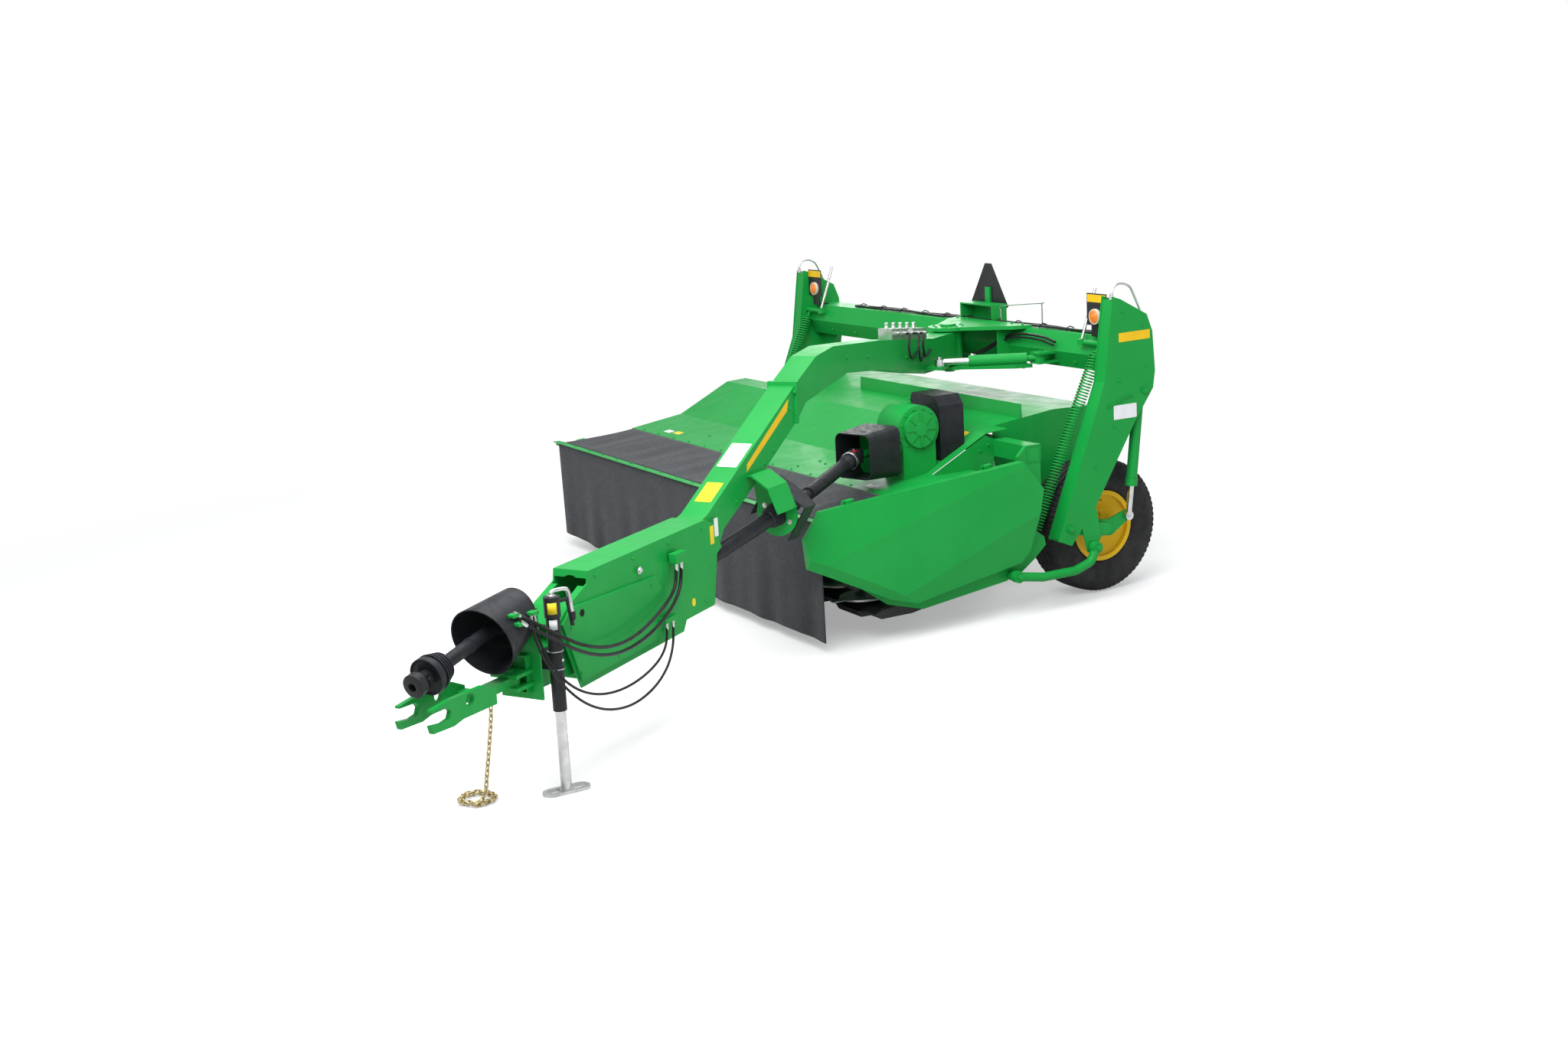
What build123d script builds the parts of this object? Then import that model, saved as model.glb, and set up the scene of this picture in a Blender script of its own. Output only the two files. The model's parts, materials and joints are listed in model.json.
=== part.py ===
"""Towed disc mower conditioner, side pull, about 3.5 m of cut, parked on its wheels and jack.

Machine frame, millimetres: +X is the machine's left, +Y its rear, +Z up, ground at Z = 0.
X = 0 is the middle of the cut and Y = 0 the line through both wheel spindles.
The tongue is built straight ahead of its pivot and then turned to its field position.
"""
import os
from math import cos, hypot, radians, sin

from build123d import *

# Working clearances
SEAT_GAP = 0.3
RUN_FIT = 0.05
SIDE_GAP = 6.0

# Wheels and lift
WHEEL_X = 1565.0
TYRE_RADIUS = 393.5
TYRE_WIDTH = 250.0
BEAD_RADIUS = 190.0
RIM_WIDTH = 190.0
RIM_WALL = 8.0
RIM_FLANGE_RADIUS = 208.0
HUB_RADIUS = 58.0
HUB_LENGTH = 110.0
SPINDLE_RADIUS = 25.0
LIFT_PIVOT_Y = -340.0
LIFT_PIVOT_Z = 445.0
LIFT_PIN_RADIUS = 22.0
LIFT_EYE_Y = 125.0
LIFT_EYE_Z = 450.0
LIFT_TOP_Y = 215.0
LIFT_TOP_Z = 1180.0
LIFT_BARREL_RADIUS = 32.0
LIFT_BARREL_END = 560.0
LIFT_ROD_RADIUS = 18.0
LIFT_ROD_LENGTH = 540.0
LIFT_EYE_RADIUS = 27.0
LIFT_EYE_WIDTH = 26.0

# Trail frame
LEG_OUTER_X = 1800.0
LEG_INNER_X = 1700.0
LEG_PLATE = 8.0
BEAM_TOP = 1495.0
BEAM_BOTTOM = 1290.0
BEAM_FRONT = 20.0
BEAM_REAR = 250.0
PIVOT_X = 500.0
PIVOT_Y = -250.0
PIVOT_PLATE = 22.0
PIVOT_PLATE_TOP = 1512.0
PIVOT_PLATE_LOW = 1250.0
PIVOT_PIN_RADIUS = 32.0
HUB_OUTER_RADIUS = 82.0
PIVOT_NOSE_RADIUS = 125.0

# Header
CUT_HALF_WIDTH = 1760.0
SHEET = 5.0
DECK_FRONT_Y = -1420.0
DECK_Z = 758.0
DECK_BEND_Y = -1035.0
DECK_BEND_Z = 812.0
HOOD_TOP_Y = -650.0
HOOD_TOP_Z = 1000.0
HOOD_REAR_Y = -500.0
HOOD_LEFT_X = 1440.0
REAR_HOOD_HALF = 1290.0
REAR_HOOD_END_Y = 330.0
BAR_Y = -1965.0
BAR_Z = 725.0
BAR_HALF = 1845.0
BAR_DEPTH = 26.0
CURTAIN_BOTTOM = 56.0
CANVAS = 5.0
DISC_COUNT = 8
DISC_PITCH = 425.0
DISC_Y = -1500.0
DISC_Z = 196.0
DISC_LONG = 190.0
DISC_SHORT = 130.0
KNIFE_REACH = 252.0
KNIFE_WIDTH = 44.0
BAR_BED_BOTTOM = 128.0
BAR_BED_TOP = 178.0
DISC_SHAFT_RADIUS = 26.0
ROTOR_Y = -1000.0
ROTOR_Z = 500.0
ROTOR_TUBE = 80.0
ROTOR_REACH = 255.0
ROTOR_HALF = 1225.0
ROTOR_STUB = 25.0
TINE_ROWS = 6
TINES_PER_ROW = 13

# Gearbox and second driveline
GEARBOX_X = 1330.0
GEARBOX_Y = -1075.0
GEARBOX_Z = 1070.0
GEARBOX_RADIUS = 135.0
JOINT_X = 1350.0
JOINT_Y = -1470.0
JOINT_Z = 965.0
GUARD_AZIMUTH = -72.0
GUARD_HALF = 128.0
GUARD_WALL = 6.0
GUARD_AHEAD = 28.0
GUARD_DEPTH = 215.0
GUARD_GROW = 16.0
FLANGE_BACK = 192.0
JOINT_RADIUS = 40.0
OUTER_TUBE_RADIUS = 37.0
INNER_TUBE_RADIUS = 29.0

# Tongue, in its own frame: s is the distance ahead of the pivot
SWING_DEG = 31.1
TONGUE_HALF = 75.0
EAR_S = 2450.0
EAR_PLATE = 12.0
EAR_L = 130.0
EAR_Z = 838.0
TEE_S = 2310.0
JOINT_HOOD_HALF = 128.0
JOINT_HOOD_DEPTH = 146.0
JOINT_HOOD_WALL = 6.0
JOINT_HOOD_TRIM = 34.0
SHAFT_RADIUS = 40.0
BRACKET_S = 4470.0
PTO_Z = 840.0
BEARING_RADIUS = 55.0
JACK_S = 4392.0
JACK_L = 128.0
JACK_TUBE_RADIUS = 31.0
JACK_LEG_RADIUS = 24.0
JACK_TOP = 880.0
JACK_TUBE_LOW = 372.0
JACK_LEG_TOP = 530.0
HITCH_S = 4560.0
HITCH_Z = 580.0
HITCH_LOW = 520.0
HITCH_HIGH = 562.0
HITCH_PIN_RADIUS = 20.0
HITCH_EYE_S = 4940.0


def prism_x(outline, x_from, x_to):
    """Solid with a (y, z) outline, from one x to another."""
    start = Plane(origin=(x_from, 0, 0), x_dir=(0, 1, 0), z_dir=(1, 0, 0))
    return extrude(start * make_face(Polyline(*outline, close=True)), amount=x_to - x_from)


def prism_y(outline, y_from, y_to):
    """Solid with an (x, z) outline, from one y to another."""
    start = Plane(origin=(0, y_from, 0), x_dir=(1, 0, 0), z_dir=(0, -1, 0))
    return extrude(start * make_face(Polyline(*outline, close=True)), amount=y_from - y_to)


def prism_z(outline, z_from, z_to):
    """Solid with an (x, y) outline, from one z to another."""
    start = Plane(origin=(0, 0, z_from))
    return extrude(start * make_face(Polyline(*outline, close=True)), amount=z_to - z_from)


def rod(start, end, radius):
    """Round bar between two points."""
    a = Vector(*start)
    b = Vector(*end)
    along = Plane(origin=a, z_dir=b - a)
    return along * Cylinder(radius, (b - a).length, align=(Align.CENTER, Align.CENTER, Align.MIN))


def tube(start, end, outer, inner):
    """Round tube between two points."""
    a = Vector(*start)
    b = Vector(*end)
    past = (b - a).normalized()
    return rod(start, end, outer) - rod(tuple(a - past), tuple(b + past), inner)


def box(low, high):
    """Block between two corners."""
    size = [high[i] - low[i] for i in range(3)]
    middle = [(high[i] + low[i]) / 2 for i in range(3)]
    return Pos(*middle) * Box(*size)


def sheet_outline(path, thickness):
    """Outline of a bent sheet: the path and the same path lowered by the thickness."""
    lower = [(y, z - thickness) for y, z in reversed(path)]
    return list(path) + lower


def mirrored(solid):
    """The same piece on the machine's right."""
    return solid.mirror(Plane.YZ)


def hull_plate(circles, x_from, x_to):
    """Plate round a chain of (y, z, radius) circles, from one x to another."""
    start = Plane(origin=(x_from, 0, 0), x_dir=(0, 1, 0), z_dir=(1, 0, 0))
    shape = None
    for (y1, z1, r1), (y2, z2, r2) in zip(circles, circles[1:]):
        link = make_hull([*(Pos(y1, z1) * Circle(r1)).edges(), *(Pos(y2, z2) * Circle(r2)).edges()])
        shape = link if shape is None else shape + link
    return extrude(start * shape, amount=x_to - x_from)


# Placing the tongue: local +X is its left, local -Y is ahead of the pivot
TONGUE_PLACE = Location((PIVOT_X, PIVOT_Y, 0), (0, 0, SWING_DEG))


def on_tongue(solid):
    """Turn a piece built straight ahead into the tongue's field position."""
    return TONGUE_PLACE * solid


def tongue_point(left, ahead, z):
    """Machine coordinates of a point of the tongue."""
    a = radians(SWING_DEG)
    x = PIVOT_X + left * cos(a) + ahead * sin(a)
    y = PIVOT_Y + left * sin(a) - ahead * cos(a)
    return (x, y, z)


# Wheels

def tyre():
    """Tyre ring about the X axis with grooved tread shoulders."""
    half = TYRE_WIDTH / 2
    bead_half = RIM_WIDTH / 2 - SEAT_GAP
    wall_radius = 0.78 * TYRE_RADIUS
    shoulder_radius = 0.955 * TYRE_RADIUS
    outline = [
        (-bead_half, BEAD_RADIUS),
        (-bead_half, RIM_FLANGE_RADIUS + 6),
        (-half, wall_radius),
        (-half * 0.93, shoulder_radius),
        (-half * 0.72, TYRE_RADIUS),
        (half * 0.72, TYRE_RADIUS),
        (half * 0.93, shoulder_radius),
        (half, wall_radius),
        (bead_half, RIM_FLANGE_RADIUS + 6),
        (bead_half, BEAD_RADIUS),
    ]
    section = Plane.XZ * make_face(Polyline(*outline, close=True))
    return revolve(section, Axis.X)


def rim():
    """Rim barrel, flanges, dished disc and hub about the X axis, disc towards +X."""
    half = RIM_WIDTH / 2
    seat = BEAD_RADIUS - SEAT_GAP
    inside = seat - RIM_WALL
    flange = RIM_FLANGE_RADIUS
    outline = [
        (-half, inside),
        (-half - RIM_WALL, inside),
        (-half - RIM_WALL, flange),
        (-half, flange),
        (-half, seat),
        (half, seat),
        (half, flange),
        (half + RIM_WALL, flange),
        (half + RIM_WALL, inside),
        (half - 20, inside),
        (half - 34, 118),
        (half - 14, 96),
        (half - 14, SPINDLE_RADIUS + RUN_FIT),
        (half - 14 - HUB_LENGTH, SPINDLE_RADIUS + RUN_FIT),
        (half - 14 - HUB_LENGTH, HUB_RADIUS),
        (half - 24, HUB_RADIUS),
        (half - 24, 92),
        (half - 45, 116),
        (half - 32, inside),
    ]
    section = Plane.XZ * make_face(Polyline(*outline, close=True))
    return revolve(section, Axis.X)


# Lift

LIFT_X = (LEG_INNER_X + LEG_OUTER_X) / 2
ARM_INNER_X = LEG_INNER_X + LEG_PLATE + SIDE_GAP
ARM_LUG_X = LIFT_X - LIFT_EYE_WIDTH / 2 - 5
ARM_OUTER_X = LEG_OUTER_X - LEG_PLATE - SIDE_GAP


def lift_arm():
    """Left trailing arm with its spindle and the lug beside the cylinder's eye."""
    pivot = (LIFT_PIVOT_Y, LIFT_PIVOT_Z, 40)
    axle = (0, TYRE_RADIUS, 48)
    eye = (LIFT_EYE_Y, LIFT_EYE_Z, 30)
    arm = hull_plate([pivot, axle, eye], ARM_INNER_X, ARM_LUG_X)
    spine = hull_plate([(LIFT_PIVOT_Y, LIFT_PIVOT_Z, 40), (-70, 404, 34)], ARM_INNER_X, ARM_OUTER_X)
    arm += spine
    arm -= rod((ARM_INNER_X - 1, LIFT_PIVOT_Y, LIFT_PIVOT_Z), (ARM_OUTER_X + 1, LIFT_PIVOT_Y, LIFT_PIVOT_Z),
               LIFT_PIN_RADIUS + RUN_FIT)
    spindle_end = WHEEL_X + RIM_WIDTH / 2 - 14 - HUB_LENGTH - 12
    spindle = rod((spindle_end, 0, TYRE_RADIUS), (ARM_INNER_X + 1, 0, TYRE_RADIUS), SPINDLE_RADIUS)
    collar_start = WHEEL_X + RIM_WIDTH / 2 - 14 + 2
    collar = rod((collar_start, 0, TYRE_RADIUS), (ARM_INNER_X + 1, 0, TYRE_RADIUS), SPINDLE_RADIUS + 14)
    return arm + spindle + collar


LIFT_LENGTH = hypot(LIFT_EYE_Y - LIFT_TOP_Y, LIFT_EYE_Z - LIFT_TOP_Z)
LIFT_DIR = ((LIFT_EYE_Y - LIFT_TOP_Y) / LIFT_LENGTH, (LIFT_EYE_Z - LIFT_TOP_Z) / LIFT_LENGTH)


def along_lift(distance):
    """Point of the lift cylinder's axis at a distance from its top pin."""
    return (LIFT_X, LIFT_TOP_Y + LIFT_DIR[0] * distance, LIFT_TOP_Z + LIFT_DIR[1] * distance)


def lift_barrel():
    """Barrel with its top eye on the leg's pin and a bore for the rod."""
    eye = rod((LIFT_X - 20, LIFT_TOP_Y, LIFT_TOP_Z), (LIFT_X + 20, LIFT_TOP_Y, LIFT_TOP_Z), 34)
    barrel = rod(along_lift(24), along_lift(LIFT_BARREL_END), LIFT_BARREL_RADIUS)
    gland = rod(along_lift(LIFT_BARREL_END - 45), along_lift(LIFT_BARREL_END), LIFT_BARREL_RADIUS + 4)
    bore = rod(along_lift(150), along_lift(LIFT_BARREL_END + 1), LIFT_ROD_RADIUS + RUN_FIT)
    pin = rod((LIFT_X - 60, LIFT_TOP_Y, LIFT_TOP_Z), (LIFT_X + 60, LIFT_TOP_Y, LIFT_TOP_Z),
              LIFT_PIN_RADIUS - 6 + RUN_FIT)
    return eye + barrel + gland - bore - pin


def lift_rod():
    """Rod with its eye and the pin stub that reaches the arm's lug."""
    bar = rod(along_lift(LIFT_LENGTH - LIFT_ROD_LENGTH), along_lift(LIFT_LENGTH), LIFT_ROD_RADIUS)
    half = LIFT_EYE_WIDTH / 2
    eye = rod((LIFT_X - half, LIFT_EYE_Y, LIFT_EYE_Z), (LIFT_X + half, LIFT_EYE_Y, LIFT_EYE_Z), LIFT_EYE_RADIUS)
    stub = rod((ARM_LUG_X + SEAT_GAP, LIFT_EYE_Y, LIFT_EYE_Z), (LIFT_X + half + 12, LIFT_EYE_Y, LIFT_EYE_Z), 13)
    return bar + eye + stub


# Trail frame

LEG_OUTLINE = [
    (-5, 1740), (50, 1722), (240, 1620), (280, 1520), (296, 1290), (280, 1190), (140, 1003),
    (-149, 554), (-331, 345), (-423, 387), (-323, 635), (-72, 1258),
]


def leg():
    """Left leg: two side plates, a front web, a top cap and the lift pins."""
    outer = prism_x(LEG_OUTLINE, LEG_OUTER_X - LEG_PLATE, LEG_OUTER_X)
    inner = prism_x(LEG_OUTLINE, LEG_INNER_X, LEG_INNER_X + LEG_PLATE)
    web_line = [(-416, 395), (-320, 636), (-69, 1258), (-4, 1720)]
    web = [*web_line, *[(y + LEG_PLATE, z) for y, z in reversed(web_line)]]
    front = prism_x(web, LEG_INNER_X + 1, LEG_OUTER_X - 1)
    cap_line = [(50, 1716), (236, 1616), (274, 1518)]
    cap = prism_x([*cap_line, *[(y - 8, z - 8) for y, z in reversed(cap_line)]], LEG_INNER_X + 1, LEG_OUTER_X - 1)
    leg_solid = outer + inner + front + cap
    low_pin = rod((LEG_INNER_X, LIFT_PIVOT_Y, LIFT_PIVOT_Z), (LEG_OUTER_X + 12, LIFT_PIVOT_Y, LIFT_PIVOT_Z),
                  LIFT_PIN_RADIUS)
    top_pin = rod((LEG_INNER_X, LIFT_TOP_Y, LIFT_TOP_Z), (LEG_OUTER_X + 12, LIFT_TOP_Y, LIFT_TOP_Z),
                  LIFT_PIN_RADIUS - 6)
    return leg_solid + low_pin + top_pin


def trail_frame():
    """Arched cross beam between the legs, with its haunches and the tongue's pivot plates."""
    front = BEAM_FRONT
    rear = BEAM_REAR
    section = [
        (front, BEAM_BOTTOM + 95), (front + 40, BEAM_BOTTOM), (rear - 30, BEAM_BOTTOM - 10),
        (rear, BEAM_BOTTOM + 90), (rear - 25, BEAM_TOP), (front + 45, BEAM_TOP),
    ]
    beam = prism_x(section, -LEG_INNER_X + SEAT_GAP, LEG_INNER_X - SEAT_GAP)
    core = [
        (front + 8, BEAM_BOTTOM + 96), (front + 46, BEAM_BOTTOM + 8), (rear - 36, BEAM_BOTTOM - 2),
        (rear - 8, BEAM_BOTTOM + 90), (rear - 31, BEAM_TOP - 8), (front + 50, BEAM_TOP - 8),
    ]
    beam -= prism_x(core, -LEG_INNER_X - 1, LEG_INNER_X + 1)
    haunch = prism_y([(1300, BEAM_BOTTOM + 60), (LEG_INNER_X - SEAT_GAP, BEAM_BOTTOM + 60),
                      (LEG_INNER_X - SEAT_GAP, 1080), (LEG_INNER_X - 60, 1120), (1480, BEAM_BOTTOM - 20)], 120, 132)
    frame = beam + haunch + mirrored(haunch)
    frame += pivot_plates()
    return frame


def pivot_plates():
    """Upper and lower pivot plates, their ribs and the pin."""
    reach = BEAM_FRONT + 70
    plates = None
    for low in (PIVOT_PLATE_TOP - PIVOT_PLATE, PIVOT_PLATE_LOW):
        nose = Pos(PIVOT_X, PIVOT_Y) * Circle(PIVOT_NOSE_RADIUS)
        root = make_face(Polyline((PIVOT_X - 400, reach), (PIVOT_X + 400, reach), (PIVOT_X + 360, reach - 100),
                                  (PIVOT_X + PIVOT_NOSE_RADIUS, PIVOT_Y), (PIVOT_X - PIVOT_NOSE_RADIUS, PIVOT_Y),
                                  (PIVOT_X - 360, reach - 100), close=True))
        plate = extrude(Pos(0, 0, low) * (nose + root), amount=PIVOT_PLATE)
        plates = plate if plates is None else plates + plate
    ribs = None
    for offset in (-250, 250):
        rib = prism_x([(-60, PIVOT_PLATE_LOW + 1), (BEAM_FRONT + 60, PIVOT_PLATE_LOW + 1),
                       (BEAM_FRONT + 60, PIVOT_PLATE_TOP - 1), (-60, PIVOT_PLATE_TOP - 1)],
                      PIVOT_X + offset - 6, PIVOT_X + offset + 6)
        ribs = rib if ribs is None else ribs + rib
    pin = rod((PIVOT_X, PIVOT_Y, PIVOT_PLATE_LOW - 20), (PIVOT_X, PIVOT_Y, PIVOT_PLATE_TOP + 14), PIVOT_PIN_RADIUS)
    head = rod((PIVOT_X, PIVOT_Y, PIVOT_PLATE_TOP - 1), (PIVOT_X, PIVOT_Y, PIVOT_PLATE_TOP + 14), PIVOT_PIN_RADIUS + 16)
    return plates + ribs + pin + head


def sign_bracket():
    """Box bracket on the beam that carries the sign at the rear."""
    shell = box((130, 96, BEAM_TOP + SEAT_GAP), (480, 210, 1605)) - box((138, 90, BEAM_TOP), (472, 202, 1597))
    mast = box((250, 209, 1520), (300, 222, 1700))
    return shell + mast


def sign():
    """Truncated triangle plate facing the rear."""
    y = 222 + SEAT_GAP
    return prism_y([(70, 1585), (100, 1565), (450, 1565), (480, 1585), (310, 1850), (240, 1850)], y, y + 4)


def lamp_plate():
    """Left lamp plate beside the leg's top."""
    plate = prism_y([(1520, 1560), (LEG_INNER_X - SEAT_GAP, 1560), (LEG_INNER_X - SEAT_GAP, 1745), (1520, 1745)], 30, 34)
    foot = box((1560, 30, BEAM_TOP + SEAT_GAP), (1640, 110, BEAM_TOP + 8))
    foot += box((1560, 30, BEAM_TOP + SEAT_GAP), (1640, 38, 1562))
    return plate + foot + box((1560, 34, 1550), (1640, 38, 1600))


def amber_lamp():
    """Amber lamp lens on the lamp plate."""
    return rod((1605, 29.7, 1612), (1605, -4, 1612), 46)


def red_lamp():
    """Red lamp lens behind the lamp plate."""
    return rod((1640, 60, 1640), (1640, 92, 1640), 46) + rod((1640, 34 + SEAT_GAP, 1640), (1640, 61, 1640), 22)


SPRING_X = 1655.0
SPRING_TOP = Vector(SPRING_X, -12, 1415)
SPRING_LOW = Vector(SPRING_X, -482, 430)
SPRING_WAY = (SPRING_LOW - SPRING_TOP).normalized()
SPRING_RADIUS = 37.0
SPRING_TURNS = 20
ANCHOR_RADIUS = 15.0
HOOK_RADIUS = 9.0
HOOK_REACH = 34.0
ROD_X = 1497.0


def float_spring():
    """Left float spring as a stack of coils with a hook at each end."""
    length = (SPRING_LOW - SPRING_TOP).length
    pitch = length / SPRING_TURNS
    root = SPRING_RADIUS - 7
    points = [(0, 0), (root, 0)]
    for turn in range(SPRING_TURNS):
        points.append((SPRING_RADIUS, (turn + 0.5) * pitch))
        points.append((root, (turn + 1.0) * pitch))
    points.append((0, length))
    section = Plane.XZ * make_face(Polyline(*points, close=True))
    coil = Plane(origin=SPRING_TOP, z_dir=SPRING_WAY) * revolve(section, Axis.Z)
    reach = SPRING_WAY * (HOOK_REACH - SEAT_GAP)
    coil += rod(SPRING_TOP - reach, SPRING_TOP + SPRING_WAY, HOOK_RADIUS)
    return coil + rod(SPRING_LOW - SPRING_WAY, SPRING_LOW + reach, HOOK_RADIUS)


def spring_anchor():
    """Left anchor bar from the leg, over the spring's upper hook, with its adjusting rod's block."""
    centre = SPRING_TOP - SPRING_WAY * (HOOK_REACH + ANCHOR_RADIUS)
    inner = Vector(ROD_X - 22, centre.Y, centre.Z)
    outer = Vector(LEG_INNER_X - SEAT_GAP, centre.Y, centre.Z)
    bar = rod(inner, outer, ANCHOR_RADIUS)
    block = box((ROD_X - 22, centre.Y - 17, centre.Z - 17), (ROD_X + 22, centre.Y + 17, centre.Z + 17))
    return bar + block


def adjusting_rod():
    """Left bright adjusting rod that stands on the anchor's block."""
    centre = SPRING_TOP - SPRING_WAY * (HOOK_REACH + ANCHOR_RADIUS)
    foot = Vector(ROD_X, centre.Y, centre.Z + 17 + SEAT_GAP + 3)
    return rod(foot, foot + Vector(0, 105, 285), 9)


LINK_X = 1826.0
LINK_FRONT = (-735, 236)
LINK_REAR = (-178, 318)
LINK_PIN_RADIUS = 16.0
LINK_TUBE_RADIUS = 26.0


def lower_link():
    """Left lower link: a bent tube between two eyes, from the header's side to the leg's foot."""
    points = [LINK_FRONT, (-560, 205), (-330, 205), (-215, 240), LINK_REAR]
    path = FilletPolyline(*[(LINK_X, y, z) for y, z in points], radius=60)
    section = Plane(origin=path @ 0, z_dir=path % 0) * Circle(LINK_TUBE_RADIUS)
    link = sweep(section, path=path)
    for y, z in (LINK_FRONT, LINK_REAR):
        link += rod((LINK_X - 20, y, z), (LINK_X + 20, y, z), LINK_PIN_RADIUS + 18)
    for y, z in (LINK_FRONT, LINK_REAR):
        link -= rod((LINK_X - 40, y, z), (LINK_X + 40, y, z), LINK_PIN_RADIUS + RUN_FIT)
    return link


def link_foot():
    """Left bracket below the leg's outer plate, with the pin that carries the lower link."""
    y, z = LINK_REAR
    plate = prism_x([(-256, 446), (-155, 562), (-118, 380), (-150, 288), (-215, 288)],
                    LEG_OUTER_X - LEG_PLATE, LEG_OUTER_X)
    return plate + rod((LEG_OUTER_X - 1, y, z), (LINK_X + 32, y, z), LINK_PIN_RADIUS)


# Header

HOOD_PATH = [
    (DECK_FRONT_Y, DECK_Z), (DECK_BEND_Y, DECK_BEND_Z), (HOOD_TOP_Y, HOOD_TOP_Z), (HOOD_REAR_Y, HOOD_TOP_Z + 8),
]


def hood():
    """Deck and hood sheet over the discs and the rotor, with its end flanges."""
    outline = sheet_outline(HOOD_PATH, SHEET)
    main = prism_x(outline, -CUT_HALF_WIDTH, HOOD_LEFT_X)
    strip = prism_x(sheet_outline(HOOD_PATH[:2], SHEET), HOOD_LEFT_X - 1, CUT_HALF_WIDTH)
    return main + strip


def above_deck(solid):
    """The part of a piece that stands on the deck and the hood."""
    rise = SEAT_GAP
    ground = [(y, z + rise) for y, z in HOOD_PATH]
    return solid - prism_x([*ground, (HOOD_REAR_Y, 0), (DECK_FRONT_Y, 0)], -CUT_HALF_WIDTH, CUT_HALF_WIDTH)


def rear_hood():
    """Rear hood behind the rotor with side walls, open below and at the rear."""
    top = [(HOOD_REAR_Y + SEAT_GAP, HOOD_TOP_Z + 4), (-60, 1050), (REAR_HOOD_END_Y - 80, 1040), (REAR_HOOD_END_Y, 960)]
    roof = prism_x(sheet_outline(top, SHEET), -REAR_HOOD_HALF, REAR_HOOD_HALF)
    wall_line = [(HOOD_REAR_Y + SEAT_GAP, HOOD_TOP_Z + 2), (-60, 1048), (REAR_HOOD_END_Y - 80, 1038),
                 (REAR_HOOD_END_Y, 958), (REAR_HOOD_END_Y - 60, 640), (-480, 560)]
    wall = prism_x(wall_line, REAR_HOOD_HALF - SHEET, REAR_HOOD_HALF)
    ridge = prism_x([(-300, 1020), (-294, 1110), (-288, 1110), (-286, 1020)], -500, REAR_HOOD_HALF)
    return roof + wall + mirrored(wall) + ridge


SIDE_OUTLINE = [
    (-1935, 690), (-1935, 470), (-1560, 205), (-1330, 140), (-760, 205), (-640, 330), (-600, 560),
    (-600, 960), (-650, 990), (-1035, 802), (-1420, 748), (-1450, 690),
]


def header_frame():
    """Side sheets, rear cross tube, front rails, spring feet and the left drive case."""
    low_side = [(y, min(z, 800.0)) for y, z in SIDE_OUTLINE]
    left = prism_x(low_side, CUT_HALF_WIDTH - 6, CUT_HALF_WIDTH)
    right = prism_x(SIDE_OUTLINE, -CUT_HALF_WIDTH, -CUT_HALF_WIDTH + 6)
    cross = box((-CUT_HALF_WIDTH + 1, -600, 860), (CUT_HALF_WIDTH - 1, -505, 955))
    cross -= box((-CUT_HALF_WIDTH - 1, -594, 866), (CUT_HALF_WIDTH + 1, -511, 949))
    end_bracket = prism_x([(-660, 700), (-505, 700), (-505, 958), (-600, 958), (-660, 900)],
                          CUT_HALF_WIDTH - 30, CUT_HALF_WIDTH - 5)
    rail = box((-CUT_HALF_WIDTH + 1, DECK_FRONT_Y, 700), (CUT_HALF_WIDTH - 1, DECK_FRONT_Y + 60, DECK_Z - SHEET - 0.3))
    arm_front = BAR_Y + BAR_DEPTH + SEAT_GAP
    arm_outline = [(arm_front, 690), (DECK_FRONT_Y + 5, 690), (DECK_FRONT_Y + 5, 752), (-1700, 736), (arm_front, 720)]
    frame = left + right + cross + end_bracket + mirrored(end_bracket) + rail
    for x in (-1200, -400, 400, 1200):
        frame += prism_x(arm_outline, x - 10, x + 10)
    bulkhead = prism_x([(-1400, 745), (-1035, 800), (-655, 985), (-600, 958), (-600, 300), (-1300, 300)],
                       HOOD_LEFT_X - 6, HOOD_LEFT_X)
    case = prism_x([(-1250, 520), (-1250, 770), (-1035, 800), (-760, 800), (-760, 520)], HOOD_LEFT_X - 1, CUT_HALF_WIDTH - 5)
    frame += bulkhead + case
    for pin in hinge_pins(0):
        frame += pin
    for pin in hinge_pins(RIGHT_DROP):
        frame += mirrored(pin)
    return frame + link_pin() + mirrored(link_pin())


def spring_foot():
    """Left foot on the header's side with the spring's low bar and the lower link's pin."""
    low = SPRING_LOW + SPRING_WAY * (HOOK_REACH + ANCHOR_RADIUS)
    outer = CUT_HALF_WIDTH - 6 - SEAT_GAP
    plate = prism_x([(-790, 212), (-690, 212), (-560, 300), (-480, 370), (-490, 420), (-560, 470), (-700, 500)],
                    outer - 12, outer)
    bar = rod((SPRING_X - 45, low.Y, low.Z), (outer - 1, low.Y, low.Z), ANCHOR_RADIUS)
    return plate + bar


def link_pin():
    """Left pin on the header's side sheet for the front of the lower link."""
    y, z = LINK_FRONT
    boss = rod((CUT_HALF_WIDTH - 1, y, z), (LINK_X - 30, y, z), LINK_PIN_RADIUS + 14)
    return boss + rod((CUT_HALF_WIDTH - 1, y, z), (LINK_X + 32, y, z), LINK_PIN_RADIUS)


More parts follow.
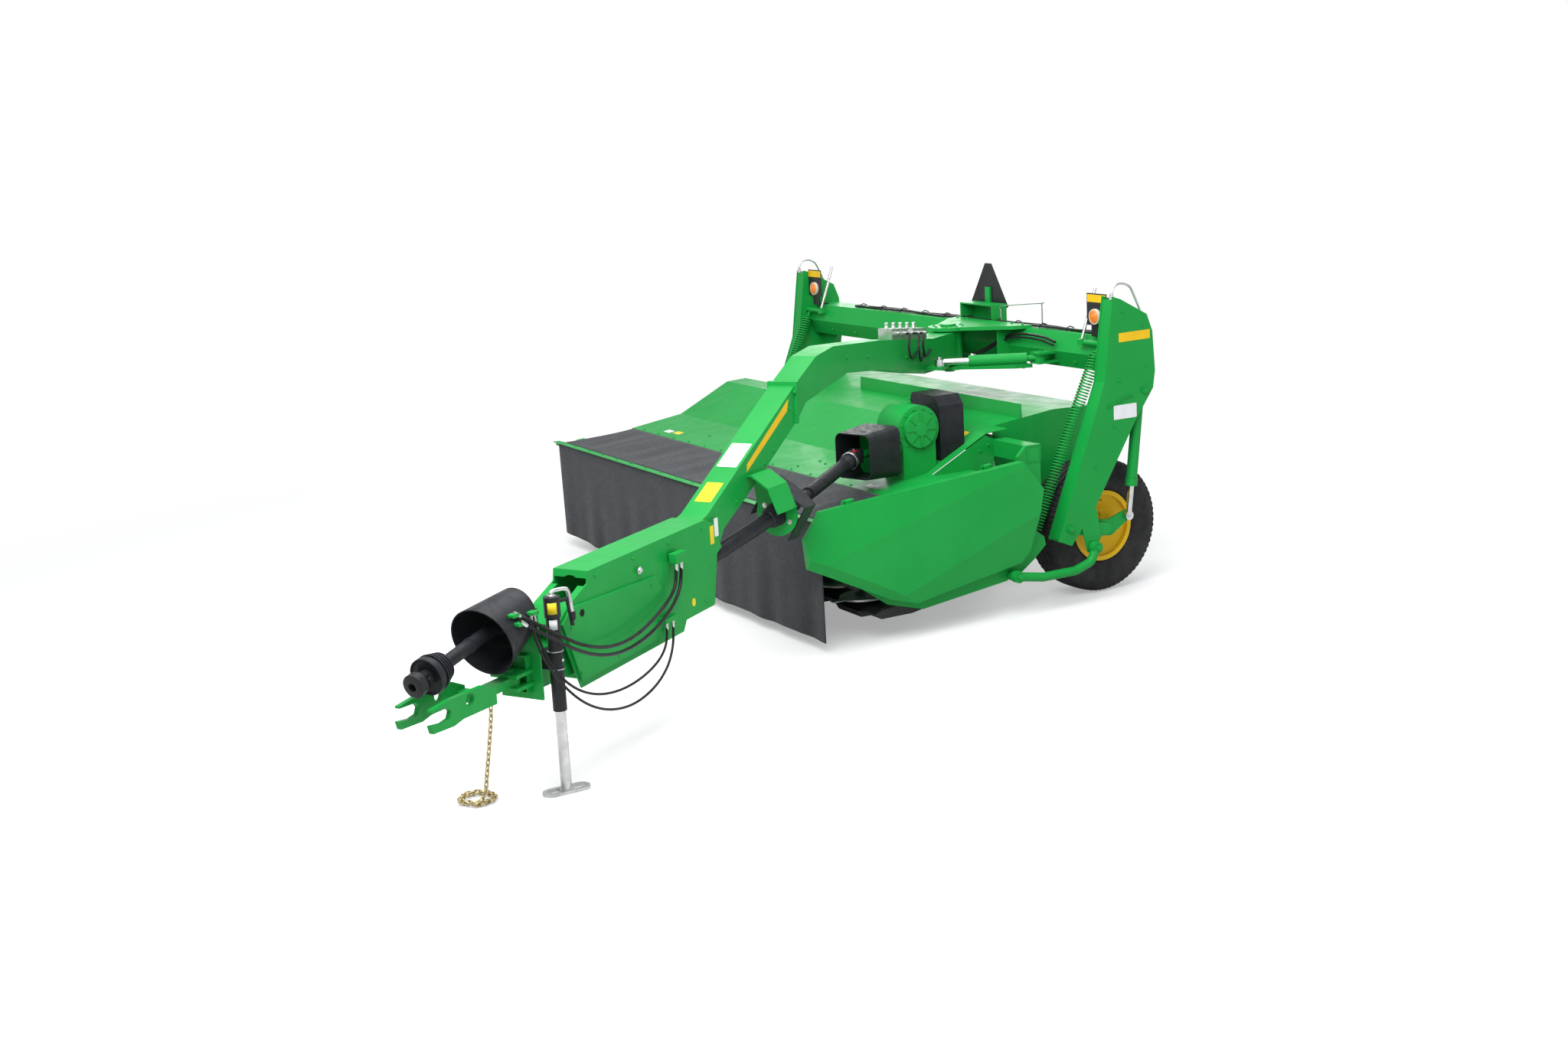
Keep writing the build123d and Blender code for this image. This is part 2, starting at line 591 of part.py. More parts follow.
def cutterbar():
    """Cutterbar bed with its skid shoes and the disc spindles."""
    bed_outline = [(-1640, 150), (-1600, BAR_BED_BOTTOM), (-1400, BAR_BED_BOTTOM), (-1330, 140), (-1330, 168),
                   (-1400, BAR_BED_TOP), (-1590, BAR_BED_TOP), (-1640, 160)]
    bar = prism_x(bed_outline, -CUT_HALF_WIDTH + 6 + SEAT_GAP, CUT_HALF_WIDTH - 6 - SEAT_GAP)
    shoe = [(-1665, 158), (-1640, 118), (-1420, 112), (-1320, 122), (-1320, 128.5), (-1420, 129), (-1640, 150)]
    for index in range(DISC_COUNT):
        x = disc_x(index)
        bar += prism_x(shoe, x - 120, x + 120)
        bar += rod((x, DISC_Y, BAR_BED_TOP - 1), (x, DISC_Y, DISC_Z - SEAT_GAP - 4), 60)
        bar += rod((x, DISC_Y, BAR_BED_TOP - 1), (x, DISC_Y, DISC_Z + 20), DISC_SHAFT_RADIUS)
    return bar


def disc_x(index):
    """Place of a disc across the cut."""
    return (index - (DISC_COUNT - 1) / 2) * DISC_PITCH


def disc(index):
    """Oval disc with its two knives and domed cap, a quarter turn from its neighbours."""
    body = extrude(Ellipse(DISC_LONG, DISC_SHORT), amount=10)
    dome = Pos(0, 0, 9) * Cone(95, 55, 30, align=(Align.CENTER, Align.CENTER, Align.MIN))
    knives = None
    for side in (-1, 1):
        knife = Pos(side * (DISC_LONG + KNIFE_REACH - 35) / 2, 0, 2) * Box(KNIFE_REACH - DISC_LONG + 35, KNIFE_WIDTH, 5)
        knives = knife if knives is None else knives + knife
    shape = body + dome + knives
    shape -= Cylinder(DISC_SHAFT_RADIUS + RUN_FIT, 44, align=(Align.CENTER, Align.CENTER, Align.CENTER))
    turn = 90 if index % 2 else 0
    return Pos(disc_x(index), DISC_Y, DISC_Z) * Rot(0, 0, turn) * shape


def rotor():
    """Conditioning rotor: a tube with rows of fixed tines and stub shafts."""
    spin = rod((-ROTOR_HALF, 0, 0), (ROTOR_HALF, 0, 0), ROTOR_TUBE)
    spin -= rod((-ROTOR_HALF + 8, 0, 0), (ROTOR_HALF - 8, 0, 0), ROTOR_TUBE - 8)
    step = 2 * (ROTOR_HALF - 60) / (TINES_PER_ROW - 1)
    tine = prism_x([(-9, ROTOR_TUBE - 4), (9, ROTOR_TUBE - 4), (6, ROTOR_REACH), (-6, ROTOR_REACH)], -7, 7)
    tines = []
    for row in range(TINE_ROWS):
        for place in range(TINES_PER_ROW):
            x = -ROTOR_HALF + 60 + place * step + (step / 2 if row % 2 else 0)
            if x < ROTOR_HALF - 10:
                tines.append(Pos(x, 0, 0) * Rot(360 / TINE_ROWS * row, 0, 0) * tine)
    spin = spin.fuse(*tines)
    stubs = []
    for side in (-1, 1):
        stubs.append(rod((side * (ROTOR_HALF - 2), 0, 0), (side * (HOOD_LEFT_X - 6 - 8), 0, 0), ROTOR_STUB))
    return Pos(0, ROTOR_Y, ROTOR_Z) * spin.fuse(*stubs)


def rotor_bearings():
    """Bearing housings that carry the rotor's stubs."""
    inside = HOOD_LEFT_X - 6
    housings = None
    for side in (-1, 1):
        ring = tube((side * (inside - 70), ROTOR_Y, ROTOR_Z), (side * inside, ROTOR_Y, ROTOR_Z),
                    62, ROTOR_STUB + RUN_FIT)
        housings = ring if housings is None else housings + ring
    hanger_outline = [(ROTOR_Y - 60, ROTOR_Z - 30), (ROTOR_Y + 60, ROTOR_Z - 30), (ROTOR_Y + 60, 700),
                      (-620, 800), (-620, 900), (-700, 900), (ROTOR_Y - 60, 790)]
    hanger = prism_x(hanger_outline, -inside - 8, -inside)
    cross_arm = box((-inside - 8, -700, 870), (-inside, -590, 900))
    return housings + hanger + cross_arm


SHIELD_OUTLINE = [
    (-1997, 795), (-694, 890), (-560, 721), (-633, 369), (-690, 307), (-1414, 203), (-1571, 245),
    (-2079, 495), (-2096, 659), (-2016, 760),
]
SHIELD_X = 1858.0
SHIELD_INSIDE = 1795.0
SHIELD_SKIN = 5.0
SHIELD_FRONT = -2096.5
HINGE_X = 1790.0
HINGE_RISE = 13.0
HINGE_EYE_RADIUS = 10.0
HINGE_PIN_RADIUS = 5.0
HINGE_EYE_LENGTH = 46.0
HINGE_PLACES = (-1800.0, -900.0)
RIGHT_DROP = 105.0


def hinge_line(y, drop):
    """Point of a shield's hinge line, just above its top edge; the drop lowers that edge."""
    (y1, z1), (y2, z2) = SHIELD_OUTLINE[:2]
    return Vector(HINGE_X, y, z1 + (z2 - z1) * (y - y1) / (y2 - y1) + HINGE_RISE - drop)


HINGE_WAY = (hinge_line(0, 0) - hinge_line(-1000, 0)).normalized()


def hinge_pins(drop):
    """Hinge pins of a left shield with the cheeks that carry them on the header's side."""
    pins = []
    reach = HINGE_EYE_LENGTH / 2 + 12
    for y in HINGE_PLACES:
        centre = hinge_line(y, drop)
        pin = rod(centre - HINGE_WAY * reach, centre + HINGE_WAY * reach, HINGE_PIN_RADIUS)
        for side in (-1, 1):
            cheek_y = y + side * (HINGE_EYE_LENGTH / 2 + 8)
            z = centre.Z
            cheek = prism_y([(CUT_HALF_WIDTH - 5, 600), (CUT_HALF_WIDTH + 2, 600), (HINGE_X + 3, z - 14),
                             (HINGE_X + 3, z + 8), (HINGE_X - 8, z + 8), (CUT_HALF_WIDTH - 5, z - 50)],
                            cheek_y - 3, cheek_y + 3)
            pin += cheek
        pins.append(pin)
    return pins


def facet(solid, a, b, c, inset=0.0):
    """Cut off what lies outside the plane through three points, moved in by the inset."""
    va = Vector(*a)
    normal = (Vector(*b) - va).cross(Vector(*c) - va).normalized()
    if normal.X < 0:
        normal = -normal
    return split(solid, bisect_by=Plane(origin=va - normal * inset, z_dir=normal), keep=Keep.BOTTOM)


def shield_block(inset, drop):
    """A left shield's outer form, or the hollow inside it."""
    start = Plane(origin=(SHIELD_INSIDE - inset, 0, 0), x_dir=(0, 1, 0), z_dir=(1, 0, 0))
    points = [(y, min(z, z_top(y) - drop)) for y, z in SHIELD_OUTLINE]
    outline = make_face(Polyline(*points, close=True))
    if inset:
        outline = offset(outline, -inset, kind=Kind.INTERSECTION)
    block = extrude(start * outline, amount=SHIELD_X - SHIELD_INSIDE)
    low_x = SHIELD_INSIDE + 14
    block = facet(block, (SHIELD_X, -2053, 491), (SHIELD_X, -695, 865 - drop), (low_x + 10, -1997, 795 - drop), inset)
    block = facet(block, (SHIELD_X, -1545, 249), (SHIELD_X, -571, 592), (low_x, -690, 307), inset)
    return facet(block, (SHIELD_X, -2079, 560), (SHIELD_X, -1571, 300), (low_x, -1700, 290), inset)


def z_top(y):
    """Height of the left shield's top edge, level ahead of it and behind it."""
    (y1, z1), (y2, z2) = SHIELD_OUTLINE[:2]
    share = min(max((y - y1) / (y2 - y1), 0.0), 1.0)
    return z1 + (z2 - z1) * share


def end_shield(drop, front):
    """A left end shield: a faceted pressing with two long creases, its stays and hinge eyes."""
    skin = shield_block(0, drop) - shield_block(SHIELD_SKIN, drop)
    skin -= box((SHIELD_INSIDE - 40, front - 400, 0), (SHIELD_X + 40, front, 1000))
    skin += box((CUT_HALF_WIDTH + SEAT_GAP, -1250, 640), (SHIELD_X - 3, -1170, 652))
    skin += box((CUT_HALF_WIDTH + SEAT_GAP, -800, 440), (SHIELD_X - 18, -720, 452))
    half = HINGE_WAY * (HINGE_EYE_LENGTH / 2)
    for y in HINGE_PLACES:
        centre = hinge_line(y, drop)
        skin += rod(centre - half, centre + half, HINGE_EYE_RADIUS)
        skin += box((HINGE_X - 4, y - 20, centre.Z - 17), (HINGE_X + 14, y + 20, centre.Z - 4))
    for y in HINGE_PLACES:
        centre = hinge_line(y, drop)
        skin -= rod(centre - half * 1.2, centre + half * 1.2, HINGE_PIN_RADIUS + RUN_FIT)
    return skin


def front_bar():
    """Front bar across the platform, with its lip."""
    bar = box((-BAR_HALF, BAR_Y, BAR_Z - 28), (BAR_HALF - 60, BAR_Y + BAR_DEPTH, BAR_Z))
    bar += box((-BAR_HALF, BAR_Y - 20, BAR_Z - 4), (BAR_HALF - 60, BAR_Y + BAR_DEPTH, BAR_Z))
    return bar


def canvas():
    """Canvas over the platform and the curtain that hangs ahead of the discs."""
    top = prism_x(sheet_outline([(BAR_Y + BAR_DEPTH + SEAT_GAP, BAR_Z + 2), (-1700, 742), (DECK_FRONT_Y - SEAT_GAP, DECK_Z)], CANVAS),
                  -CUT_HALF_WIDTH + 15, CUT_HALF_WIDTH - 20)
    curtain = box((-SHIELD_INSIDE + 10, BAR_Y - 6, CURTAIN_BOTTOM), (SHIELD_INSIDE - 20, BAR_Y - SEAT_GAP, BAR_Z - 5))
    return [top, curtain]


# Gearbox and its guards

def gearbox():
    """Bevel gearbox with a ribbed round end, its input neck and its foot."""
    body = rod((GEARBOX_X - 170, GEARBOX_Y, GEARBOX_Z), (GEARBOX_X + 60, GEARBOX_Y, GEARBOX_Z), GEARBOX_RADIUS)
    cover = rod((GEARBOX_X + 55, GEARBOX_Y, GEARBOX_Z), (GEARBOX_X + 84, GEARBOX_Y, GEARBOX_Z), GEARBOX_RADIUS - 32)
    neck_end = guard_point(-150)
    neck = rod((GEARBOX_X - 20, GEARBOX_Y + 10, JOINT_Z + 45), neck_end, 74)
    foot = above_deck(box((GEARBOX_X - 150, GEARBOX_Y - 110, 700), (GEARBOX_X + 60, GEARBOX_Y + 110, GEARBOX_Z - 40)))
    shaft = rod(guard_point(-160), guard_point(-JOINT_RADIUS - SEAT_GAP), 24)
    share = (FLANGE_BACK + GUARD_AHEAD) / (GUARD_DEPTH + GUARD_AHEAD)
    half = GUARD_HALF - GUARD_WALL + GUARD_GROW * share - SEAT_GAP
    place = Location((JOINT_X, JOINT_Y, JOINT_Z), (0, 0, GUARD_AZIMUTH))
    face = Plane(origin=(-FLANGE_BACK, 0, 0), z_dir=(-1, 0, 0), x_dir=(0, 1, 0))
    flange = place * extrude(face * RectangleRounded(2 * half, 2 * half, 38), amount=8)
    return body + cover + neck + foot + shaft + flange


def guard_point(ahead, across=0.0, up=0.0):
    """Point of the gearbox guard, measured from the joint along the guard's own axis."""
    a = radians(GUARD_AZIMUTH)
    return (JOINT_X + ahead * cos(a) - across * sin(a), JOINT_Y + ahead * sin(a) + across * cos(a), JOINT_Z + up)


def gearbox_guards():
    """Rubber box round the input joint and the hooped guard behind the gearbox."""
    place = Location((JOINT_X, JOINT_Y, JOINT_Z), (0, 0, GUARD_AZIMUTH))
    outer_front = Plane(origin=(GUARD_AHEAD, 0, 0), z_dir=(-1, 0, 0), x_dir=(0, 1, 0))
    outer_rear = Plane(origin=(-GUARD_DEPTH, 0, 0), z_dir=(-1, 0, 0), x_dir=(0, 1, 0))
    grow = GUARD_GROW
    inside = GUARD_HALF - GUARD_WALL
    outer = loft([outer_front * RectangleRounded(2 * GUARD_HALF, 2 * GUARD_HALF, 45),
                  outer_rear * RectangleRounded(2 * (GUARD_HALF + grow), 2 * (GUARD_HALF + grow), 45)])
    inner = loft([outer_front.offset(-1) * RectangleRounded(2 * inside, 2 * inside, 39),
                  outer_rear.offset(1) * RectangleRounded(2 * (inside + grow), 2 * (inside + grow), 39)])
    return place * (outer - inner)


def rear_guard():
    """Hooped guard behind the gearbox, over the rotor drive."""
    outline = [(1060, 800), (1060, 1170), (1100, 1235), (1330, 1235), (1380, 1180), (1380, 800)]
    hoop = prism_y(outline, -925, -760)
    inner = [(1066, 700), (1066, 1168), (1103, 1229), (1327, 1229), (1374, 1178), (1374, 700)]
    return above_deck(hoop - prism_y(inner, -919, -700))


# Second driveline

TEE = tongue_point(EAR_L, TEE_S, EAR_Z)
JOINT = (JOINT_X, JOINT_Y, JOINT_Z)
DRIVE = Vector(*TEE) - Vector(*JOINT)
DRIVE_LENGTH = DRIVE.length


def along_drive(distance):
    """Point of the second driveline at a distance from the gearbox's joint."""
    return tuple(Vector(*JOINT) + DRIVE.normalized() * distance)


def drive_outer():
    """Rear half of the second driveline: joint yoke, collar and outer tube."""
    ball = Pos(*JOINT) * Cylinder(JOINT_RADIUS, 76)
    tube_end = 620.0
    outer = rod(along_drive(20), along_drive(tube_end), OUTER_TUBE_RADIUS)
    collar = rod(along_drive(60), along_drive(105), 47)
    bore = rod(along_drive(120), along_drive(tube_end + 1), INNER_TUBE_RADIUS + RUN_FIT)
    return outer + collar - bore + ball


def drive_inner():
    """Front half of the second driveline, which slides in the rear half."""
    bar = rod(along_drive(DRIVE_LENGTH - 700), along_drive(DRIVE_LENGTH - 20), INNER_TUBE_RADIUS)
    yoke = rod(along_drive(DRIVE_LENGTH - 60), along_drive(DRIVE_LENGTH), 34)
    return bar + yoke


# Tongue pieces, built straight ahead: x is left, y is minus the distance ahead

def neck_outline():
    """Side outline (y, z) of the gooseneck, closed."""
    top = [(0, 1482), (380, 1482), (1100, 1562), (1650, 1600), (1850, 1572), (2100, 1450), (3030, 948), (3080, 935)]
    low = [(3080, 760), (2940, 770), (2880, 850), (2500, 1040), (2090, 1262), (1980, 1345), (1500, 1432), (1100, 1392),
           (520, 1288), (0, 1285)]
    return [(-s, z) for s, z in top + low]


def tongue_beam():
    """Gooseneck with its hub, its bolted joint and the shaft's ear."""
    outline = neck_outline()
    neck = prism_x(outline, -TONGUE_HALF, TONGUE_HALF)
    hub = rod((0, 0, PIVOT_PLATE_LOW + PIVOT_PLATE + SEAT_GAP), (0, 0, PIVOT_PLATE_TOP - PIVOT_PLATE - SEAT_GAP),
              HUB_OUTER_RADIUS)
    beam = neck + hub - rod((0, 0, 1200), (0, 0, 1600), PIVOT_PIN_RADIUS + RUN_FIT)
    flange = prism_x([(-2120, 1250), (-2100, 1470), (-2072, 1470), (-2092, 1250)], -TONGUE_HALF - 14, TONGUE_HALF + 14)
    beam += flange
    return beam


SHAFT_FRONT = (-4.0, -3240.0, 660.0)
SHAFT_REAR = (EAR_L, -EAR_S + EAR_PLATE, EAR_Z)


def ear():
    """Curved ear on the tongue's left that carries the shaft bearing."""
    y = -EAR_S
    ring = Pos(EAR_L, EAR_Z) * Circle(118)
    tab = make_face(Polyline((TONGUE_HALF - 4, 1060), (TONGUE_HALF + 40, 1062), (EAR_L + 118, EAR_Z + 10),
                             (EAR_L, EAR_Z), (EAR_L - 110, EAR_Z + 30), (TONGUE_HALF - 80, 1030), close=True))
    face = Plane(origin=(0, y, 0), x_dir=(1, 0, 0), z_dir=(0, -1, 0)) * (ring + tab)
    plate = extrude(face, amount=-EAR_PLATE)
    shroud = prism_y([(TONGUE_HALF - 10, 1068), (TONGUE_HALF + 30, 1074), (200, 1010), (252, 880), (246, 878),
                      (194, 1004), (TONGUE_HALF + 26, 1066), (TONGUE_HALF - 10, 1060)], y, -2640)
    plate += shroud
    past = (Vector(*SHAFT_REAR) - Vector(*SHAFT_FRONT)).normalized() * 40
    return plate - rod(SHAFT_FRONT, Vector(*SHAFT_REAR) + past, SHAFT_RADIUS + SEAT_GAP)


def first_shaft():
    """Guarded shaft from inside the tongue through the ear."""
    return rod(SHAFT_FRONT, SHAFT_REAR, SHAFT_RADIUS)


def joint_hood():
    """Black hood over the joint behind the ear, an open channel turned about the shaft."""
    half = JOINT_HOOD_HALF
    wall = JOINT_HOOD_WALL
    depth = JOINT_HOOD_DEPTH
    shell = Box(2 * half, depth, 2 * half - 40, align=(Align.CENTER, Align.MIN, Align.CENTER))
    hollow = Box(2 * half - 2 * wall, depth + 2, 2 * half, align=(Align.CENTER, Align.MIN, Align.CENTER))
    channel = shell - Pos(0, -1, -wall - 20) * hollow
    trim = JOINT_HOOD_TRIM
    channel -= prism_z([(0, depth + 1), (half + 1, depth + 1), (half + 1, depth - trim)], -half, half)
    return Pos(EAR_L, -EAR_S + EAR_PLATE + SEAT_GAP, EAR_Z + 12) * Rot(0, 32, 0) * channel


def tongue_box():
    """Front housing of the tongue: side pressings, roof and nose round the driveline."""
    side = [(3085, 938), (4070, 914), (4080, 860), (4240, 790), (4320, 728), (4180, 406), (3330, 440), (3300, 490),
            (3040, 500), (2990, 750), (2945, 772), (3000, 900)]
    outline = [(-s, z) for s, z in side]
    body = prism_x(outline, -TONGUE_HALF - 20, TONGUE_HALF + 20)
    hollow = [(2900, 790), (2900, 700), (3040, 480), (3340, 420), (4300, 380), (4330, 700), (4236, 776), (4100, 850),
              (4090, 880), (3090, 900)]
    body -= prism_x([(-s, z) for s, z in hollow], -TONGUE_HALF - 12, TONGUE_HALF + 12)
    body -= rod((0, -4000, 832), (0, -4200, 832), 58)
    panel = prism_x([(-s, z) for s, z in ((3560, 770), (4225, 786), (4300, 726), (4185, 440), (3500, 470), (3470, 640))],
                    TONGUE_HALF + 19, TONGUE_HALF + 34)
    panel += mirrored(panel)
    drawbar = box((-55, -BRACKET_S - 40, 470), (55, -4150, 640)) - box((-47, -BRACKET_S - 60, 478), (47, -4100, 632))
    bulkhead = box((-TONGUE_HALF - 13, -4162, 440), (TONGUE_HALF + 13, -4150, 650))
    plate = box((-110, -BRACKET_S - 12, 440), (110, -BRACKET_S, 850))
    plate -= rod((0, -BRACKET_S - 20, PTO_Z - 20), (0, -BRACKET_S + 8, PTO_Z - 20), BEARING_RADIUS + SEAT_GAP)
    ears = box((-70, -HITCH_S - 40, HITCH_LOW - 16), (70, -BRACKET_S - 11, HITCH_LOW))
    ears += box((-70, -HITCH_S - 40, HITCH_HIGH), (70, -BRACKET_S - 11, HITCH_HIGH + 16))
    pin = rod((0, -HITCH_S, HITCH_LOW - 28), (0, -HITCH_S, HITCH_HIGH + 28), HITCH_PIN_RADIUS)
    housing = body + panel + drawbar + bulkhead + plate + ears + pin
    return housing - prism_x(neck_outline(), -TONGUE_HALF, TONGUE_HALF)


def hitch_fork():
    """Hitch arm on its upright pin, ending in two open jaws for the tractor's cross pin."""
    low = HITCH_LOW + SEAT_GAP
    high = HITCH_HIGH - SEAT_GAP
    eye = rod((0, -HITCH_S, low), (0, -HITCH_S, high), 44)
    shank = box((-30, -4790, low), (30, -HITCH_S, high))
    yoke = box((-95, -4830, low), (95, -4770, high))
    arm = None
    for side in (-1, 1):
        x_from = 71 if side > 0 else -95
        outline = [(4770, 510), (4770, 575), (4850, 612), (5060, 616), (5180, 604), (5180, 594), (5080, 590), (5062, 564),
                   (5075, 539), (5120, 532), (5190, 542), (5180, 506), (5050, 500), (4990, 512)]
        plate = prism_x([(-s, z) for s, z in outline], x_from, x_from + 24)
        plate -= rod((x_from - 1, -HITCH_EYE_S, HITCH_Z), (x_from + 25, -HITCH_EYE_S, HITCH_Z), 27)
        arm = plate if arm is None else arm + plate
    fork = eye + shank + yoke + arm
    return fork - rod((0, -HITCH_S, 500), (0, -HITCH_S, 700), HITCH_PIN_RADIUS + RUN_FIT)


def jack_tube():
    """Outer tube of the jack with its mounting sleeve, gear head and crank."""
    body = tube((JACK_L, -JACK_S, JACK_TUBE_LOW), (JACK_L, -JACK_S, JACK_TOP - 60), JACK_TUBE_RADIUS, JACK_LEG_RADIUS + RUN_FIT)
    head = rod((JACK_L, -JACK_S, JACK_TOP - 90), (JACK_L, -JACK_S, JACK_TOP), 36)
    sleeve = box((55 + SEAT_GAP, -JACK_S - 30, 560), (JACK_L, -JACK_S + 30, 640))
    sleeve -= rod((JACK_L, -JACK_S, 550), (JACK_L, -JACK_S, 650), JACK_LEG_RADIUS + 2)
    crank = rod((JACK_L, -JACK_S, JACK_TOP - 30), (JACK_L + 20, -JACK_S + 90, JACK_TOP - 30), 8)
    grip = rod((JACK_L + 20, -JACK_S + 84, JACK_TOP - 24), (JACK_L + 30, -JACK_S + 98, JACK_TOP - 150), 9)
    return body + head + sleeve + crank + grip


def jack_leg():
    """Inner leg of the jack with its oval foot loop."""
    leg_bar = rod((JACK_L, -JACK_S, 6), (JACK_L, -JACK_S, JACK_LEG_TOP), JACK_LEG_RADIUS)
    foot = extrude(SlotOverall(220, 84), amount=14) - extrude(SlotOverall(180, 44), amount=20)
    foot += Pos(0, 0, 7) * Box(60, 60, 14)
    return leg_bar + Pos(JACK_L, -JACK_S, 0) * Rot(0, 0, 90 - SWING_DEG) * foot


def bell_guard():
    """Bell guard at the front joint and the guard tube of the tractor's shaft."""
    base = Vector(0, -BRACKET_S - 12 - SEAT_GAP, PTO_Z - 20)
    nose = Vector(0, -4720, 752)
    along = Plane(origin=base - (nose - base) * 0.2, z_dir=nose - base)
    length = (nose - base).length * 1.2
    bell = along * (Cone(104, 158, length, align=(Align.CENTER, Align.CENTER, Align.MIN))
                    - Cone(99, 153, length, align=(Align.CENTER, Align.CENTER, Align.MIN)))
    return bell - box((-300, base.Y, 400), (300, base.Y + 300, 1200))


def pto_shaft():
    """Shaft from the front joint to the yoke that fits the tractor's stub."""
    base = Vector(0, -4500, PTO_Z - 18)
    end = Vector(0, -5120, 698)
    way = (end - base).normalized()
    shaft = rod(tuple(base), tuple(end), 30)
    joint = rod(tuple(base - way * 20), tuple(base + way * 45), 48)
    joint += rod((0, -BRACKET_S + 6, PTO_Z - 20), (0, -BRACKET_S - 18, PTO_Z - 20), BEARING_RADIUS)
    cone = rod(tuple(base + way * 40), tuple(base + way * 110), 66)
    collar = rod(tuple(end - way * 120), tuple(end - way * 30), 82)
    yoke = rod(tuple(end - way * 40), tuple(end + way * 55), 52)
    bore = rod(tuple(end - way * 15), tuple(end + way * 56), 17.5)
    return shaft + joint + cone + collar + yoke - bore


def valve_block():
    """Hydraulic manifold on the gooseneck."""
    bed = [(-s, z + SEAT_GAP) for s, z in ((420, 1486.5), (880, 1537.6))]
    top = [(-880, 1602), (-420, 1552)]
    return prism_x([*bed, *top], -40, 50)


# Swing cylinder, between the beam and the gooseneck

SWING_FRAME = (1180.0, -60.0, 1350.0)
SWING_TONGUE = tongue_point(150.0, 470.0, 1350.0)


def swing_points():
    """Axis of the swing cylinder in plan."""
    start = Vector(*SWING_FRAME)
    end = Vector(*SWING_TONGUE)
    return start, end, (end - start).normalized()


def swing_barrel():
    """Barrel of the swing cylinder with its eye on the beam's lug."""
    start, end, way = swing_points()
    eye = Pos(*SWING_FRAME) * Cylinder(34, 40)
    length = (end - start).length
    barrel = rod(tuple(start + way * 80), tuple(start + way * (length - 175)), 34)
    barrel += rod(tuple(start + way * 26), tuple(start + way * 90), 18)
    bore = rod(tuple(start + way * 92), tuple(start + way * (length - 174)), 20 + RUN_FIT)
    pin = Pos(*SWING_FRAME) * Cylinder(16 + RUN_FIT, 60)
    return eye + barrel - bore - pin


def swing_rod():
    """Rod of the swing cylinder, with its eye and pin stub over the gooseneck's lug."""
    start, end, way = swing_points()
    length = (end - start).length
    bar = rod(tuple(start + way * 100), tuple(end), 20)
    eye = Pos(*SWING_TONGUE) * Cylinder(30, 40)
    stub = Pos(SWING_TONGUE[0], SWING_TONGUE[1], SWING_TONGUE[2] + 7) * Cylinder(13, 54)
    return bar + eye + stub


def swing_lug_frame():
    """Lug and pin on the beam for the swing cylinder."""
    x, y, z = SWING_FRAME
    lug = box((x - 45, y - 40, z - 34), (x + 45, BEAM_FRONT + 45, z - 20 - SEAT_GAP))
    lug += box((x - 45, y - 40, z + 20 + SEAT_GAP), (x + 45, BEAM_FRONT + 45, z + 34))
    return lug + rod((x, y, z - 34), (x, y, z + 40), 16)


def swing_lug_tongue():
    """Lug on the gooseneck under the rod's eye, in the tongue's own frame."""
    return box((TONGUE_HALF - 1, -520, 1310), (190, -420, 1350 - 20 - SEAT_GAP))


def build():
    """All pieces in the machine frame, by node name."""
    pieces = {}
    legs = leg() + link_foot()
    pieces["frame_legs"] = [legs, mirrored(legs)]
    upper = trail_frame() + swing_lug_frame()
    pieces["trail_frame"] = [upper]
    pieces["sign_bracket"] = [sign_bracket()]
    pieces["rear_sign"] = [sign()]
    plate = lamp_plate()
    pieces["lamp_plates"] = [plate, mirrored(plate)]
    pieces["amber_lamps"] = [amber_lamp(), mirrored(amber_lamp())]
    pieces["red_lamps"] = [red_lamp(), mirrored(red_lamp())]
    anchor = spring_anchor()
    pieces["spring_anchors"] = [anchor, mirrored(anchor)]
    pieces["adjusting_rods"] = [adjusting_rod(), mirrored(adjusting_rod())]
    spring = float_spring()
    pieces["float_springs"] = [spring, mirrored(spring)]
    link = lower_link()
    pieces["lower_links"] = [link, mirrored(link)]
    foot = spring_foot()
    pieces["spring_feet"] = [foot, mirrored(foot)]
    pieces["header_frame"] = [header_frame() + rotor_bearings()]
    pieces["hood"] = [hood()]
    pieces["rear_hood"] = [rear_hood()]
    pieces["cutterbar"] = [cutterbar()]
    for index in range(DISC_COUNT):
        pieces[f"disc_{index + 1}"] = [disc(index)]
    pieces["rotor"] = [rotor()]
    pieces["end_shield_left"] = [end_shield(0, SHIELD_FRONT)]
    pieces["end_shield_right"] = [mirrored(end_shield(RIGHT_DROP, BAR_Y + BAR_DEPTH + 2 * SIDE_GAP))]
    pieces["front_bar"] = [front_bar()]
    pieces["canvas"] = canvas()
    pieces["gearbox"] = [gearbox()]
    pieces["gearbox_guard"] = [gearbox_guards()]
    pieces["rear_guard"] = [rear_guard()]
    pieces["drive_outer"] = [drive_outer()]
    pieces["drive_inner"] = [drive_inner()]
    for side, flip in (("left", False), ("right", True)):
        wheel = {
            f"rim_{side}": Pos(WHEEL_X, 0, TYRE_RADIUS) * rim(),
            f"tyre_{side}": Pos(WHEEL_X, 0, TYRE_RADIUS) * tyre(),
            f"lift_arm_{side}": lift_arm(),
            f"lift_barrel_{side}": lift_barrel(),
            f"lift_rod_{side}": lift_rod(),
        }
        for name, solid in wheel.items():
            pieces[name] = [mirrored(solid) if flip else solid]
    pieces["swing_barrel"] = [swing_barrel()]
    pieces["swing_rod"] = [swing_rod()]
    tongue = {
        "tongue_beam": tongue_beam() + swing_lug_tongue() + ear(),
        "tongue_box": tongue_box(),
        "first_shaft": first_shaft(),
        "joint_hood": joint_hood(),
        "valve_block": valve_block(),
        "jack_tube": jack_tube(),
        "jack_leg": jack_leg(),
        "bell_guard": bell_guard(),
        "pto_shaft": pto_shaft(),
        "hitch_fork": hitch_fork(),
    }
    for name, solid in tongue.items():
        pieces[name] = [on_tongue(solid)]
    return pieces


